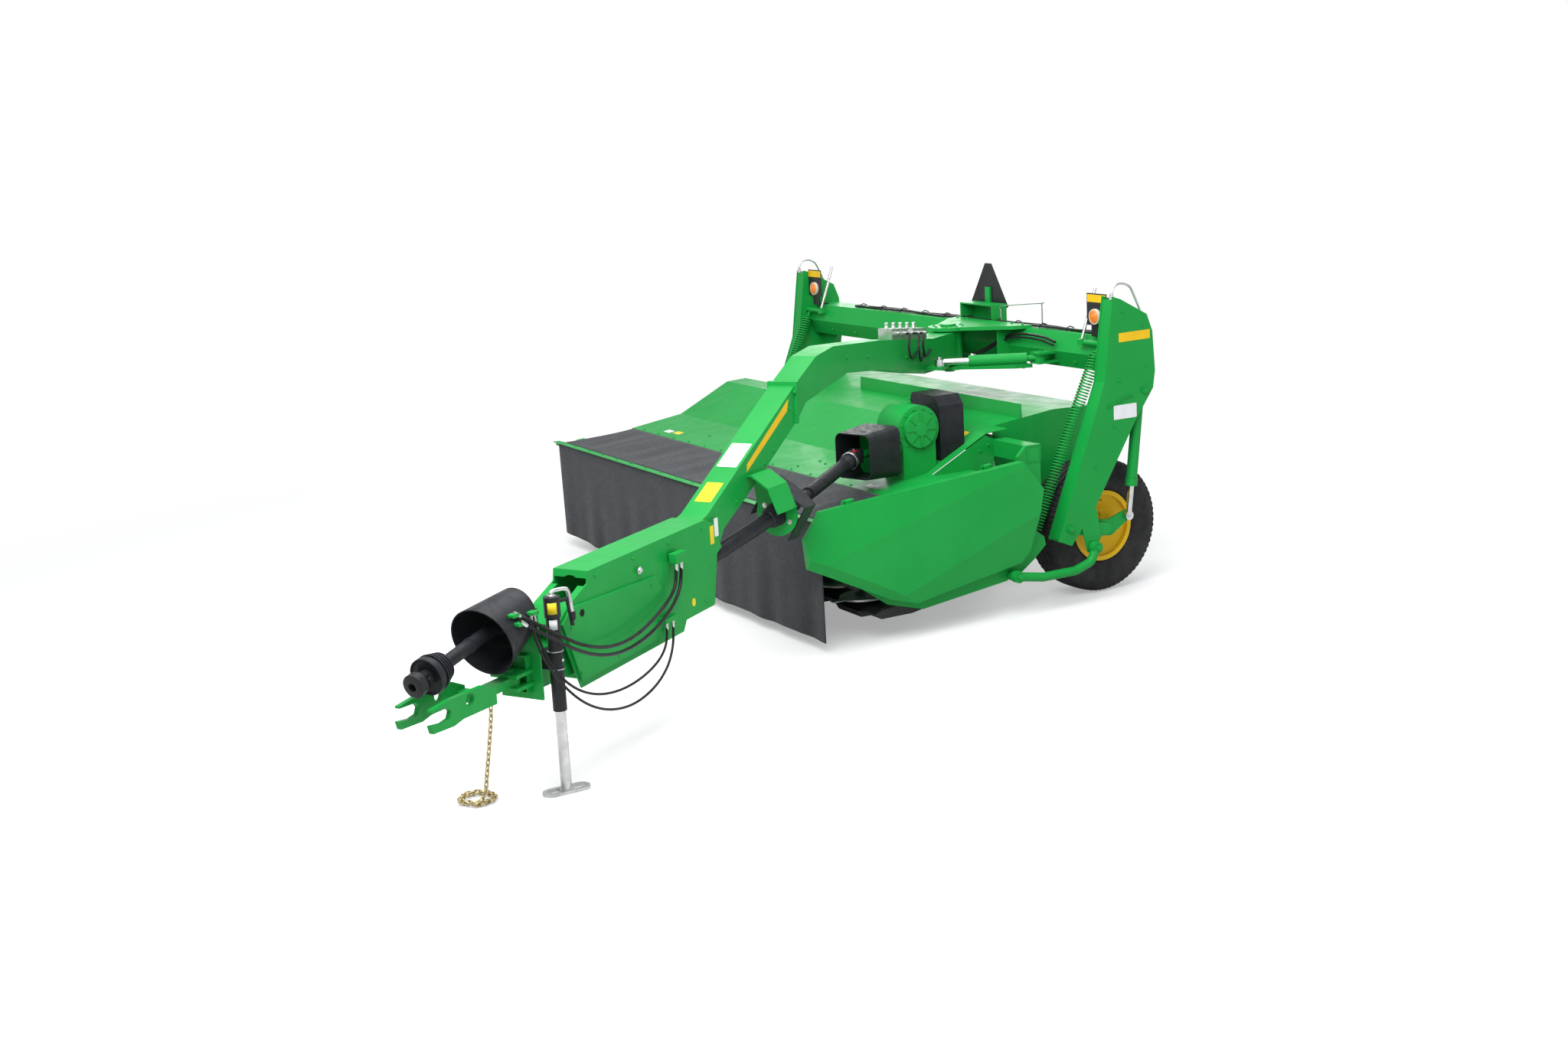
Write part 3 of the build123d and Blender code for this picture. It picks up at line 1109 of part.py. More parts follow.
def main():
    """Build every piece, set the origin under the middle of the whole, and write the files."""
    os.makedirs("parts", exist_ok=True)
    pieces = build()
    bounds = None
    for solids in pieces.values():
        for solid in solids:
            own = solid.bounding_box()
            bounds = own if bounds is None else bounds.add(own)
    middle = bounds.center()
    shift = Pos(-middle.X, -middle.Y, -bounds.min.Z)
    print("shift", round(-middle.X, 4), round(-middle.Y, 4), round(-bounds.min.Z, 4))
    for name, solids in pieces.items():
        placed = [shift * piece for solid in solids for piece in solid.solids()]
        shape = placed[0] if len(placed) == 1 else Compound(placed)
        export_step(shape, f"parts/{name}.step")


main()
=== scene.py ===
"""Looks of the towed disc mower conditioner: a finish for every part of the frame, and the pieces
that are too fine or too soft for it, such as tread, coils, canvas, hoses, bolts and lamps.

Row frame, metres. Machine coordinates are millimetres from the middle of the cut at the wheel line.
"""
import json
import random
from math import atan2, cos, pi, radians, sin, tau

import bpy
from mathutils import Matrix, Vector


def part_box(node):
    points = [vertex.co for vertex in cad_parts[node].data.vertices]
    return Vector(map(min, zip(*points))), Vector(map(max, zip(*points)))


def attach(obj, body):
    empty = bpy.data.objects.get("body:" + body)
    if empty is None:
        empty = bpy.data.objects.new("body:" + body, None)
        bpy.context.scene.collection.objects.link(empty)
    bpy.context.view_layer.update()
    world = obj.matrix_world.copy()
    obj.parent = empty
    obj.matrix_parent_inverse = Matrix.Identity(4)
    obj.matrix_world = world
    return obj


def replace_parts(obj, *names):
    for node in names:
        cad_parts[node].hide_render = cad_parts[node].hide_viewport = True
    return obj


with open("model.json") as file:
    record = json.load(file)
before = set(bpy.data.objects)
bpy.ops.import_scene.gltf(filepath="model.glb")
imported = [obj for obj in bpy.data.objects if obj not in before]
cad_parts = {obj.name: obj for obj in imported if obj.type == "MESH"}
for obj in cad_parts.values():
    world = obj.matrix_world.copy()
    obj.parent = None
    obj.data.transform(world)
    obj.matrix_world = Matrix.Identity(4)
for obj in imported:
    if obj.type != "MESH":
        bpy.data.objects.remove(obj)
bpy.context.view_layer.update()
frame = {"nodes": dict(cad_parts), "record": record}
nodes = frame["nodes"]
BODY_OF = {node: body for body, names in frame["record"]["behaviour"]["bodies"].items() for node in names}

# Machine origin: on the ground below the wheel line, in the middle of the cut
WHEEL_X = {"left": 1565.0, "right": -1565.0}
WHEEL_Z = 393.5
TYRE_LOW, TYRE_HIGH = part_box("tyre_left")
HOME = (TYRE_LOW + TYRE_HIGH) / 2 - Vector((WHEEL_X["left"], 0, WHEEL_Z)) / 1000

# Tongue frame: its pivot and its field position
PIVOT = (500.0, -250.0)
SWING = radians(31.1)
LEFT = Vector((cos(SWING), sin(SWING), 0))
AHEAD = Vector((sin(SWING), -cos(SWING), 0))
X = Vector((1, 0, 0))
Y = Vector((0, 1, 0))
Z = Vector((0, 0, 1))

# Places of the frame's surfaces and centres that several pieces stand on
LEG_FACE = 1800
BULKHEAD_FACE = 1440
BEAM_TOP = 1496
NECK_SIDE = 75
BOX_SIDE = 95
CHEEK_SIDE = 109
GEARBOX = (1390, -1075, 1070)
SPRING_X = 1655
AMBER_X, RED_X = 1605, 1640
JACK = (128, 4392)


def at(x, y, z):
    """Row point of a machine point in millimetres."""
    return HOME + Vector((x, y, z)) / 1000


def on_tongue(left, ahead, z):
    """Row point of a point of the tongue: left of it, ahead of its pivot, and its height."""
    return at(*PIVOT, z) + (LEFT * left + AHEAD * ahead) / 1000


# Camera and stage

CAMERA_AZIMUTH = radians(61.298)
CAMERA_ELEVATION = radians(12.039)
CAMERA_ROLL = radians(-3.157)
CAMERA_PLACE = (10292.0, -6847.9, 2831.6)
CAMERA_LENS = 43.584
SENSOR_WIDTH = 36.0
FLOOR_SIZE = 60.0
FLOOR_DROP = 0.001
FLOOR_COLOUR = (0.62, 0.62, 0.62, 1)
FLOOR_GLOW = 0.34
FADE_START, FADE_END = 3.8, 6.5
WHITE = (1, 1, 1, 1)
FILL_COLOUR = (0.94, 0.97, 1.0, 1)
FILL_STRENGTH = 0.62


def new_object(name, data):
    """New object in the scene."""
    made = bpy.data.objects.new(name, data)
    bpy.context.scene.collection.objects.link(made)
    return made


def make_camera():
    """Camera at the photograph's place, with its small roll."""
    data = bpy.data.cameras.new("camera")
    data.lens = CAMERA_LENS
    data.sensor_width = SENSOR_WIDTH
    camera = new_object("camera", data)
    turn = Matrix.Rotation(CAMERA_AZIMUTH, 4, "Z") @ Matrix.Rotation(pi / 2 - CAMERA_ELEVATION, 4, "X")
    camera.matrix_world = Matrix.Translation(at(*CAMERA_PLACE)) @ turn @ Matrix.Rotation(CAMERA_ROLL, 4, "Z")
    bpy.context.scene.camera = camera


def new_node(tree, kind, inputs=None):
    """New shader node; each input takes a value, or the socket that feeds it."""
    node = tree.nodes.new("ShaderNode" + kind)
    for key, value in (inputs or {}).items():
        if isinstance(value, bpy.types.NodeSocket):
            tree.links.new(value, node.inputs[key])
        else:
            node.inputs[key].default_value = value
    return node


def make_world():
    """White surround for the camera, and a plain even fill light."""
    world = bpy.data.worlds.new("surround")
    bpy.context.scene.world = world
    world.use_nodes = True
    tree = world.node_tree
    tree.nodes.clear()
    path = new_node(tree, "LightPath")
    seen = new_node(tree, "Math", {0: path.outputs["Is Camera Ray"], 1: path.outputs["Is Transmission Ray"]})
    seen.operation = "MAXIMUM"
    white = new_node(tree, "Background", {"Color": WHITE, "Strength": 1.0})
    fill = new_node(tree, "Background", {"Color": FILL_COLOUR, "Strength": FILL_STRENGTH})
    blend = new_node(tree, "MixShader", {"Fac": seen.outputs[0], 1: fill.outputs[0], 2: white.outputs[0]})
    new_node(tree, "OutputWorld", {"Surface": blend.outputs[0]})


def make_lamp(name, place, aim, size, power):
    """Square soft lamp at a place, aimed at a point."""
    data = bpy.data.lights.new(name, "AREA")
    data.shape = "SQUARE"
    data.size = size
    data.energy = power
    lamp = new_object(name, data)
    lamp.rotation_mode = "QUATERNION"
    lamp.location = place
    lamp.rotation_quaternion = (aim - place).to_track_quat("-Z", "Y")


def make_floor():
    """Pale floor that keeps the object's shadow and fades to white away from it."""
    half = FLOOR_SIZE / 2
    mesh = bpy.data.meshes.new("floor")
    corners = [(x * half, y * half, -FLOOR_DROP) for x, y in ((-1, -1), (1, -1), (1, 1), (-1, 1))]
    mesh.from_pydata(corners, [], [(0, 1, 2, 3)])
    floor = new_object("floor", mesh)
    material = bpy.data.materials.new("floor_white")
    material.use_nodes = True
    tree = material.node_tree
    tree.nodes.clear()
    diffuse = new_node(tree, "BsdfDiffuse", {"Color": FLOOR_COLOUR})
    path = new_node(tree, "LightPath")
    level = new_node(tree, "Math", {0: path.outputs["Is Camera Ray"], 1: FLOOR_GLOW})
    level.operation = "MULTIPLY"
    glow = new_node(tree, "Emission", {"Color": WHITE, "Strength": level.outputs[0]})
    lit = new_node(tree, "AddShader", {0: diffuse.outputs[0], 1: glow.outputs[0]})
    length = new_node(tree, "VectorMath", {0: own_place(tree)})
    length.operation = "LENGTH"
    reach = {"Value": length.outputs["Value"], "From Min": FADE_START, "From Max": FADE_END}
    fade = new_node(tree, "MapRange", reach)
    white = new_node(tree, "Emission")
    blend = new_node(tree, "MixShader", {"Fac": fade.outputs["Result"], 1: lit.outputs[0], 2: white.outputs[0]})
    new_node(tree, "OutputMaterial", {"Surface": blend.outputs[0]})
    mesh.materials.append(material)


# Materials

COAT_ROUGHNESS = 0.08
NOISE_LOW, NOISE_HIGH = 0.35, 0.65


def surface(name, colour, roughness, metallic=0.0, coat=0.0, specular=0.5, sheen=0.0):
    """New material with a Principled shader; returns it, its tree and the shader."""
    material = bpy.data.materials.new(name)
    material.use_nodes = True
    material.diffuse_color = (*colour, 1)
    tree = material.node_tree
    shader = tree.nodes["Principled BSDF"]
    for key, value in (("Base Color", (*colour, 1)), ("Roughness", roughness), ("Metallic", metallic),
                       ("Coat Weight", coat), ("Coat Roughness", COAT_ROUGHNESS),
                       ("Specular IOR Level", specular), ("Sheen Weight", sheen)):
        shader.inputs[key].default_value = value
    return material, tree, shader


def own_place(tree):
    """The object's own coordinates, in metres."""
    return new_node(tree, "TexCoord").outputs["Object"]


def noise(tree, scale, detail, stretch=(1, 1, 1)):
    """Noise in the object's own coordinates."""
    mapping = new_node(tree, "Mapping", {"Vector": own_place(tree), "Scale": stretch})
    texture = new_node(tree, "TexNoise", {"Vector": mapping.outputs["Vector"], "Scale": scale, "Detail": detail})
    return texture.outputs["Fac"]


def wave(tree, direction, scale):
    """Even bands across a direction of the object."""
    texture = new_node(tree, "TexWave", {"Vector": own_place(tree), "Scale": scale})
    texture.bands_direction = direction
    return texture.outputs["Fac"]


def ramp(tree, texture, low, high):
    """The middle of a texture's values, stretched over a range of numbers."""
    span = {"Value": texture, "From Min": NOISE_LOW, "From Max": NOISE_HIGH, "To Min": low, "To Max": high}
    return new_node(tree, "MapRange", span).outputs["Result"]


def tint(tree, shader, texture, first, second):
    """Base colour that goes from one colour to another with a texture."""
    node = tree.nodes.new("ShaderNodeMix")
    node.data_type = "RGBA"
    node.inputs["A"].default_value = (*first, 1)
    node.inputs["B"].default_value = (*second, 1)
    tree.links.new(ramp(tree, texture, 0.0, 1.0), node.inputs["Factor"])
    tree.links.new(node.outputs["Result"], shader.inputs["Base Color"])


def roughen(tree, shader, texture, low, high):
    """Roughness that goes from one value to another with a texture."""
    tree.links.new(ramp(tree, texture, low, high), shader.inputs["Roughness"])


def bump(tree, shader, texture, depth):
    """Bump of a real depth in metres."""
    node = new_node(tree, "Bump", {"Height": texture, "Strength": 1.0, "Distance": depth})
    tree.links.new(node.outputs["Normal"], shader.inputs["Normal"])


def paint(name, colour, shade):
    """Sprayed gloss paint: faint cloudiness, orange peel and a thin film of dust in the roughness."""
    material, tree, shader = surface(name, colour, 0.3, coat=0.08, specular=0.16)
    tint(tree, shader, noise(tree, 2.3, 4.0), colour, shade)
    roughen(tree, shader, noise(tree, 9.0, 6.0), 0.34, 0.5)
    bump(tree, shader, noise(tree, 260.0, 2.0), 0.00012)
    return material


def moulded(name, colour, shade, roughness, grain=700.0, depth=0.0002):
    """Moulded plastic or rubber with a fine grain."""
    material, tree, shader = surface(name, colour, roughness, specular=0.2)
    tint(tree, shader, noise(tree, 14.0, 5.0), colour, shade)
    roughen(tree, shader, noise(tree, 30.0, 4.0), roughness - 0.08, roughness + 0.12)
    bump(tree, shader, noise(tree, grain, 3.0), depth)
    return material


def metal(name, colour, roughness):
    """Bare or plated metal with drawn streaks."""
    material, tree, shader = surface(name, colour, roughness, metallic=1.0)
    streaks = noise(tree, 60.0, 4.0, (1, 1, 12))
    roughen(tree, shader, streaks, roughness - 0.06, roughness + 0.16)
    tint(tree, shader, noise(tree, 20.0, 3.0), colour, tuple(c * 0.78 for c in colour))
    bump(tree, shader, streaks, 0.00008)
    return material


def weave(name, colour, shade):
    """Coated fabric: a fine square weave under a dull coating, with faint scuffs."""
    material, tree, shader = surface(name, colour, 0.62, specular=0.12, sheen=0.15)
    tint(tree, shader, noise(tree, 5.0, 6.0), colour, shade)
    threads = new_node(tree, "Math", {0: wave(tree, "X", 90.0), 1: wave(tree, "Z", 90.0)})
    threads.operation = "ADD"
    bump(tree, shader, threads.outputs[0], 0.0002)
    roughen(tree, shader, noise(tree, 40.0, 4.0), 0.52, 0.72)
    return material


def lens(name, colour):
    """Clear coloured lamp lens with moulded rings."""
    material, tree, shader = surface(name, colour, 0.12, coat=0.6)
    shader.inputs["Emission Color"].default_value = (*colour, 1)
    shader.inputs["Emission Strength"].default_value = 0.12
    rings = wave(tree, "X", 60.0)
    tint(tree, shader, rings, colour, tuple(c * 0.6 for c in colour))
    bump(tree, shader, rings, 0.0006)
    return material


GREEN = (0.005, 0.275, 0.042)
# Looks by the record's slots
FINISH = {
    "green_paint": paint("green_gloss", GREEN, (0.009, 0.302, 0.050)),
    "yellow_paint": paint("yellow_gloss", (0.80, 0.50, 0.016), (0.74, 0.45, 0.012)),
    "black_paint": paint("black_satin", (0.016, 0.017, 0.018), (0.026, 0.027, 0.028)),
    "tyre_rubber": moulded("tyre_black", (0.018, 0.018, 0.019), (0.03, 0.03, 0.029), 0.6, 420.0, 0.0004),
    "black_rubber": moulded("rubber_black", (0.014, 0.016, 0.018), (0.022, 0.024, 0.027), 0.42),
    "black_plastic": moulded("plastic_black", (0.012, 0.013, 0.016), (0.019, 0.020, 0.024), 0.36),
    "canvas_black": weave("canvas_coated", (0.017, 0.018, 0.023), (0.024, 0.026, 0.031)),
    "steel": metal("disc_steel", (0.5, 0.5, 0.51), 0.36),
    "chrome_rod": metal("rod_chrome", (0.8, 0.8, 0.82), 0.12),
    "zinc": metal("zinc_plate", (0.72, 0.72, 0.71), 0.28),
    "gold_zinc": metal("zinc_yellow", (0.74, 0.62, 0.34), 0.3),
    "amber_lens": lens("amber", (0.90, 0.22, 0.010)),
    "red_lens": lens("red", (0.6, 0.012, 0.012)),
    "sign_face": moulded("sign_orange", (0.85, 0.16, 0.02), (0.8, 0.14, 0.02), 0.45),
    # Looks of trim alone
    "hose": moulded("hose_rubber", (0.012, 0.012, 0.013), (0.020, 0.020, 0.021), 0.26, 900.0, 0.00008),
    "stripe": moulded("stripe_yellow", (0.80, 0.50, 0.010), (0.74, 0.45, 0.010), 0.34, 900.0, 0.00004),
    "plate_white": moulded("plate_white", (0.74, 0.75, 0.76), (0.68, 0.69, 0.70), 0.3, 900.0, 0.00003),
    "plate_yellow": moulded("plate_yellow", (0.78, 0.60, 0.02), (0.72, 0.54, 0.02), 0.3, 900.0, 0.00003),
    "pale_bezel": moulded("pale_bezel", (0.70, 0.62, 0.50), (0.62, 0.55, 0.45), 0.3),
    "red_mark": moulded("red_enamel", (0.5, 0.01, 0.012), (0.42, 0.01, 0.012), 0.3),
    # Painted shade: near black for the shaded inside of the hole in the tongue box's side
    "dark": moulded("shadow_black", (0.006, 0.006, 0.006), (0.009, 0.009, 0.009), 0.7),
    "red_reflex": moulded("reflex_red", (0.55, 0.008, 0.008), (0.5, 0.008, 0.008), 0.2, 600.0, 0.0002),
}


def finish_frame():
    """Give every part of the frame the material of its slot in the record, but black paint to the jack's tube."""
    for row in frame["record"]["subparts"]:
        slots = nodes[row["node"]].data.materials
        slots.clear()
        slots.append(FINISH["black_paint" if row["node"] == "jack_tube" else row["material_slot"]])
    for part in nodes.values():
        part.data.shade_smooth()
        part.modifiers.new("edges", "EDGE_SPLIT").split_angle = radians(32)


# Mesh kit

class Shape:
    """Points and faces of one piece, gathered from simple turned, swept and flat forms."""

    def __init__(self):
        self.points = []
        self.faces = []

    def add(self, points, faces):
        """Take over points and faces."""
        base = len(self.points)
        self.points += [tuple(point) for point in points]
        self.faces += [tuple(base + k for k in face) for face in faces]

    def turned(self, start, way, profile, steps=24):
        """Round form about a line from (distance, radius) pairs in millimetres."""
        way = Vector(way).normalized()
        side = way.orthogonal().normalized()
        up = way.cross(side)
        rings = []
        points = []
        for distance, radius in profile:
            count = steps if radius > 0 else 1
            rings.append((len(points), count))
            for k in range(count):
                a = tau * k / steps
                points.append(start + (way * distance + (side * cos(a) + up * sin(a)) * radius) / 1000)
        faces = []
        for (a, from_many), (b, to_many) in zip(rings, rings[1:]):
            for k in range(steps):
                n = (k + 1) % steps
                if from_many == 1 and to_many > 1:
                    faces.append((a, b + n, b + k))
                elif to_many == 1 and from_many > 1:
                    faces.append((a + k, a + n, b))
                elif from_many > 1:
                    faces.append((a + k, a + n, b + n, b + k))
        self.add(points, faces)

    def swept(self, path, radius, steps=8, closed=False):
        """Round bar along a path, its section carried without twist; the radius is in millimetres."""
        count = len(path)
        ways = []
        for k in range(count):
            before = path[k - 1] if closed or k else path[0]
            after = path[(k + 1) % count] if closed or k < count - 1 else path[k]
            ways.append((after - before).normalized())
        side = ways[0].orthogonal().normalized()
        points = []
        for place, way in zip(path, ways):
            side = (side - way * side.dot(way)).normalized()
            up = way.cross(side)
            for j in range(steps):
                a = tau * j / steps
                points.append(place + (side * cos(a) + up * sin(a)) * radius / 1000)
        faces = []
        for k in range(count if closed else count - 1):
            a = k * steps
            b = (k + 1) % count * steps
            faces += [(a + j, a + (j + 1) % steps, b + (j + 1) % steps, b + j) for j in range(steps)]
        if not closed:
            faces.append(tuple(reversed(range(steps))))
            faces.append(tuple(range((count - 1) * steps, count * steps)))
        self.add(points, faces)

    def slab(self, place, right, up, outline, thickness):
        """Flat plate that stands out of a surface, from an outline and a thickness in millimetres."""
        right = Vector(right).normalized()
        up = Vector(up).normalized()
        out = right.cross(up)
        low = [place + (right * x + up * y) / 1000 for x, y in outline]
        high = [point + out * thickness / 1000 for point in low]
        count = len(outline)
        faces = [tuple(range(count, 2 * count)), tuple(reversed(range(count)))]
        faces += [(k, (k + 1) % count, count + (k + 1) % count, count + k) for k in range(count)]
        self.add(low + high, faces)

    def bolt(self, place, way, size=9.0):
        """Hex head with a chamfer on a washer; the size is half the width across corners."""
        way = Vector(way).normalized()
        self.turned(place, way, [(0, 0), (0, size * 1.45), (1.8, size * 1.45), (2.2, size * 1.3), (2.2, 0)], 16)
        height = size * 0.75
        self.turned(place, way, [(2, size), (height, size), (height + 1.5, size * 0.85), (height + 1.5, 0)], 6)

    def piece(self, name, look, node, smooth=30.0):
        """The finished piece in one look, riding with a part of the frame."""
        mesh = bpy.data.meshes.new(name)
        mesh.from_pydata(self.points, [], self.faces)
        mesh.materials.append(FINISH[look])
        made = new_object(name, mesh)
        if smooth:
            mesh.shade_smooth()
            made.modifiers.new("edges", "EDGE_SPLIT").split_angle = radians(smooth)
        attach(made, BODY_OF[node])
        return made


CORNER_STEPS = 4
LINE_STEPS = 6


def rounded(width, height, radius):
    """Outline of a rectangle with round corners, about its middle."""
    outline = []
    for corner, (cx, cy) in enumerate(((1, 1), (-1, 1), (-1, -1), (1, -1))):
        for k in range(CORNER_STEPS + 1):
            a = pi / 2 * (corner + k / CORNER_STEPS)
            outline.append((cx * (width / 2 - radius) + radius * cos(a),
                            cy * (height / 2 - radius) + radius * sin(a)))
    return outline


def smooth_line(points):
    """Smooth path through a few points."""
    padded = [points[0] * 2 - points[1], *points, points[-1] * 2 - points[-2]]
    path = []
    for a, b, c, d in zip(padded, padded[1:], padded[2:], padded[3:]):
        for k in range(LINE_STEPS):
            t = k / LINE_STEPS
            path.append(0.5 * (2 * b + (c - a) * t + (2 * a - 5 * b + 4 * c - d) * t * t
                               + (3 * b - a - 3 * c + d) * t * t * t))
    return path + [points[-1]]


def mix(a, b, share):
    """Number between two numbers."""
    return a + (b - a) * share


# Cords: free hoses and chains, on the routes of the frame's tubes

ROUTES = {
    "hose_upper_1": [
        (0.130, -3.415, 0.800), (0.130, -3.415, 0.730), (0.140, -3.470, 0.665), (0.160, -3.630, 0.612),
        (0.175, -3.840, 0.562), (0.190, -4.060, 0.568), (0.200, -4.270, 0.630), (0.190, -4.440, 0.725),
        (0.156, -4.570, 0.818), (0.122, -4.650, 0.870)],
    "hose_upper_2": [
        (0.130, -3.372, 0.800), (0.130, -3.372, 0.735), (0.143, -3.425, 0.655), (0.160, -3.560, 0.585),
        (0.172, -3.760, 0.530), (0.185, -3.990, 0.520), (0.205, -4.210, 0.572), (0.215, -4.415, 0.670),
        (0.186, -4.550, 0.765), (0.147, -4.640, 0.832)],
    "hose_lower_1": [
        (0.124, -4.512, 0.836), (0.126, -4.512, 0.765), (0.152, -4.506, 0.665), (0.188, -4.455, 0.545),
        (0.195, -4.340, 0.450), (0.190, -4.190, 0.385), (0.180, -4.020, 0.352), (0.170, -3.850, 0.350),
        (0.156, -3.690, 0.372), (0.143, -3.585, 0.410), (0.132, -3.530, 0.470), (0.132, -3.530, 0.540)],
    "hose_lower_2": [
        (0.131, -4.545, 0.838), (0.133, -4.545, 0.765), (0.164, -4.532, 0.650), (0.205, -4.470, 0.520),
        (0.215, -4.350, 0.405), (0.208, -4.200, 0.323), (0.195, -4.035, 0.274), (0.180, -3.870, 0.258),
        (0.168, -3.705, 0.282), (0.154, -3.580, 0.335), (0.143, -3.515, 0.398), (0.133, -3.478, 0.465),
        (0.133, -3.478, 0.540)],
    "safety_chain": [
        (-0.092, -4.585, 0.500), (-0.092, -4.585, 0.410), (-0.100, -4.612, 0.255), (-0.108, -4.640, 0.110),
        (-0.112, -4.655, 0.030)],
}


def on_route(point):
    """Row point of a route point: left of the tongue, behind its pivot, up, in metres."""
    left, behind, up = point
    return on_tongue(left * 1000, -behind * 1000, up * 1000)


def route_curve(name, points):
    """Smooth open curve with the route's points as control points."""
    curve = bpy.data.curves.new(name, "CURVE")
    curve.dimensions = "3D"
    spline = curve.splines.new("NURBS")
    spline.points.add(len(points) - 1)
    for control, point in zip(spline.points, points):
        control.co = (*point, 1)
    spline.order_u = 3
    spline.use_endpoint_u = True
    spline.resolution_u = 40
    return curve


def make_hose(name, points, diameter):
    """Rubber hose on its route."""
    curve = route_curve(name + "_line", points)
    curve.bevel_depth = diameter / 2
    curve.bevel_resolution = 4
    curve.use_fill_caps = True
    curve.materials.append(FINISH["hose"])
    hose = new_object(name + "_rubber", curve)
    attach(hose, BODY_OF["tongue_box"])


def line_points(points):
    """Points along the route's own smooth curve."""
    holder = bpy.data.objects.new("line", route_curve("line", points))
    mesh = bpy.data.meshes.new_from_object(holder)
    found = [vertex.co.copy() for vertex in mesh.vertices]
    bpy.data.objects.remove(holder)
    bpy.data.meshes.remove(mesh)
    return found


def spaced(path, pitch):
    """Places at an even pitch along a path, each with its direction."""
    places = []
    wanted = pitch / 2
    walked = 0.0
    for a, b in zip(path, path[1:]):
        span = (b - a).length
        while walked + span >= wanted:
            places.append((a.lerp(b, (wanted - walked) / span), (b - a).normalized()))
            wanted += pitch
        walked += span
    return places


def chain_link(shape, place, way, side, pitch, half, wire):
    """Oval link of round wire along a direction, flat in the plane of the direction and the side."""
    way = way.normalized()
    side = (side - way * side.dot(way)).normalized()
    run = pitch / 2
    loop = []
    for end in (1, -1):
        for k in range(5):
            a = pi * (k / 4 - 0.5)
            loop.append(place + (way * end * (run - half * 0.35 + half * cos(a) * 0.9)
                                 + side * end * half * sin(a)) / 1000)
    shape.swept(loop, wire, 6, closed=True)


def make_chain(name, points, pitch, wire):
    """Welded chain on its route."""
    path = line_points(points)
    shape = Shape()
    for index, (place, way) in enumerate(spaced(path, pitch / 1000)):
        side = LEFT if index % 2 else way.cross(LEFT)
        chain_link(shape, place, way, side, pitch, pitch / 3, wire)
    chain = shape.piece(name + "_links", "gold_zinc", "tongue_box")


HOSES = (("hose_upper_1", 1.430, 0.016), ("hose_upper_2", 1.483, 0.016),
         ("hose_lower_1", 1.379, 0.012), ("hose_lower_2", 1.554, 0.012))
HEAP_MIDDLE = (-0.175, -4.640, 0.013)
HEAP_POINTS, HEAP_POINTS_PER_TURN = 17, 8
HEAP_RADIUS, HEAP_CLOSING = 92, 1.9
HEAP_UNEVEN = (5, -4, 2, -3, 4)


def make_cords():
    """The four hoses, and the safety chain with its heap on the ground."""
    for name, length, diameter in HOSES:
        make_hose(name, [on_route(point) for point in ROUTES[name]], diameter)
    chain = [on_route(point) for point in ROUTES["safety_chain"]]
    for k in range(HEAP_POINTS):
        a = tau * k / HEAP_POINTS_PER_TURN - 1.1 + SWING
        reach = (HEAP_RADIUS - HEAP_CLOSING * k + HEAP_UNEVEN[k % 5]) / 1000
        chain.append(on_route(HEAP_MIDDLE) + (X * cos(a) + Y * sin(a)) * reach)
    make_chain("safety_chain", chain, 24.0, 3.8)


# Wheels

PLAIN, WAVY, NOTCHED = range(3)
TYRE_WALL = ((-92, 190), (-92, 206), (-100, 218), (-104, 221), (-105, 227), (-111, 236), (-120, 268), (-125, 305),
             (-123.5, 326), (-124.5, 331), (-121.5, 337))
TYRE_SHOULDER = ((-118, 356), (-112, 374), (-100, 384), (-88, 389.5))
TYRE_CROWN = ((-67, 391.5, PLAIN), (-66, 384.5, WAVY), (-58, 384.5, WAVY), (-57, 392.5, PLAIN), (-40, 393.2, PLAIN),
              (-27, 393.4, PLAIN), (-26, 386, WAVY), (-18, 386, WAVY), (-17, 393.5, PLAIN), (0, 393.5, PLAIN))
TYRE_STEPS = 216
NOTCH_EVERY, NOTCH_DEPTH = 3, 5.0
GROOVE_WAVE = 2.5
WHEEL_BOLTS, WHEEL_BOLT_RADIUS = 6, 0.074
RIM_FACE = 0.081


def make_tread(side, centre):
    """Tyre with a ribbed crown, notched shoulders and ringed walls, about the wheel's centre."""
    half = [(*point, PLAIN) for point in TYRE_WALL] + [(*point, NOTCHED) for point in TYRE_SHOULDER] \
        + list(TYRE_CROWN)
    columns = half + [(-x, radius, kind) for x, radius, kind in reversed(half[:-1])]
    points = []
    for k in range(TYRE_STEPS):
        a = tau * k / TYRE_STEPS
        for across, radius, kind in columns:
            if kind == WAVY:
                across += GROOVE_WAVE if k // NOTCH_EVERY % 2 else -GROOVE_WAVE
            if kind == NOTCHED and k % NOTCH_EVERY == 0:
                radius -= NOTCH_DEPTH
                across *= 0.985
            points.append(centre + Vector((across, radius * sin(a), radius * cos(a))) / 1000)
    wide = len(columns)
    faces = []
    for k in range(TYRE_STEPS):
        a = k * wide
        b = (k + 1) % TYRE_STEPS * wide
        faces += [(a + j + 1, b + j + 1, b + j, a + j) for j in range(wide - 1)]
        faces.append((a, b, b + wide - 1, a + wide - 1))
    shape = Shape()
    shape.add(points, faces)
    tyre = shape.piece(f"tyre_{side}_tread", "tyre_rubber", f"tyre_{side}", 24.0)
    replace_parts(tyre, f"tyre_{side}")


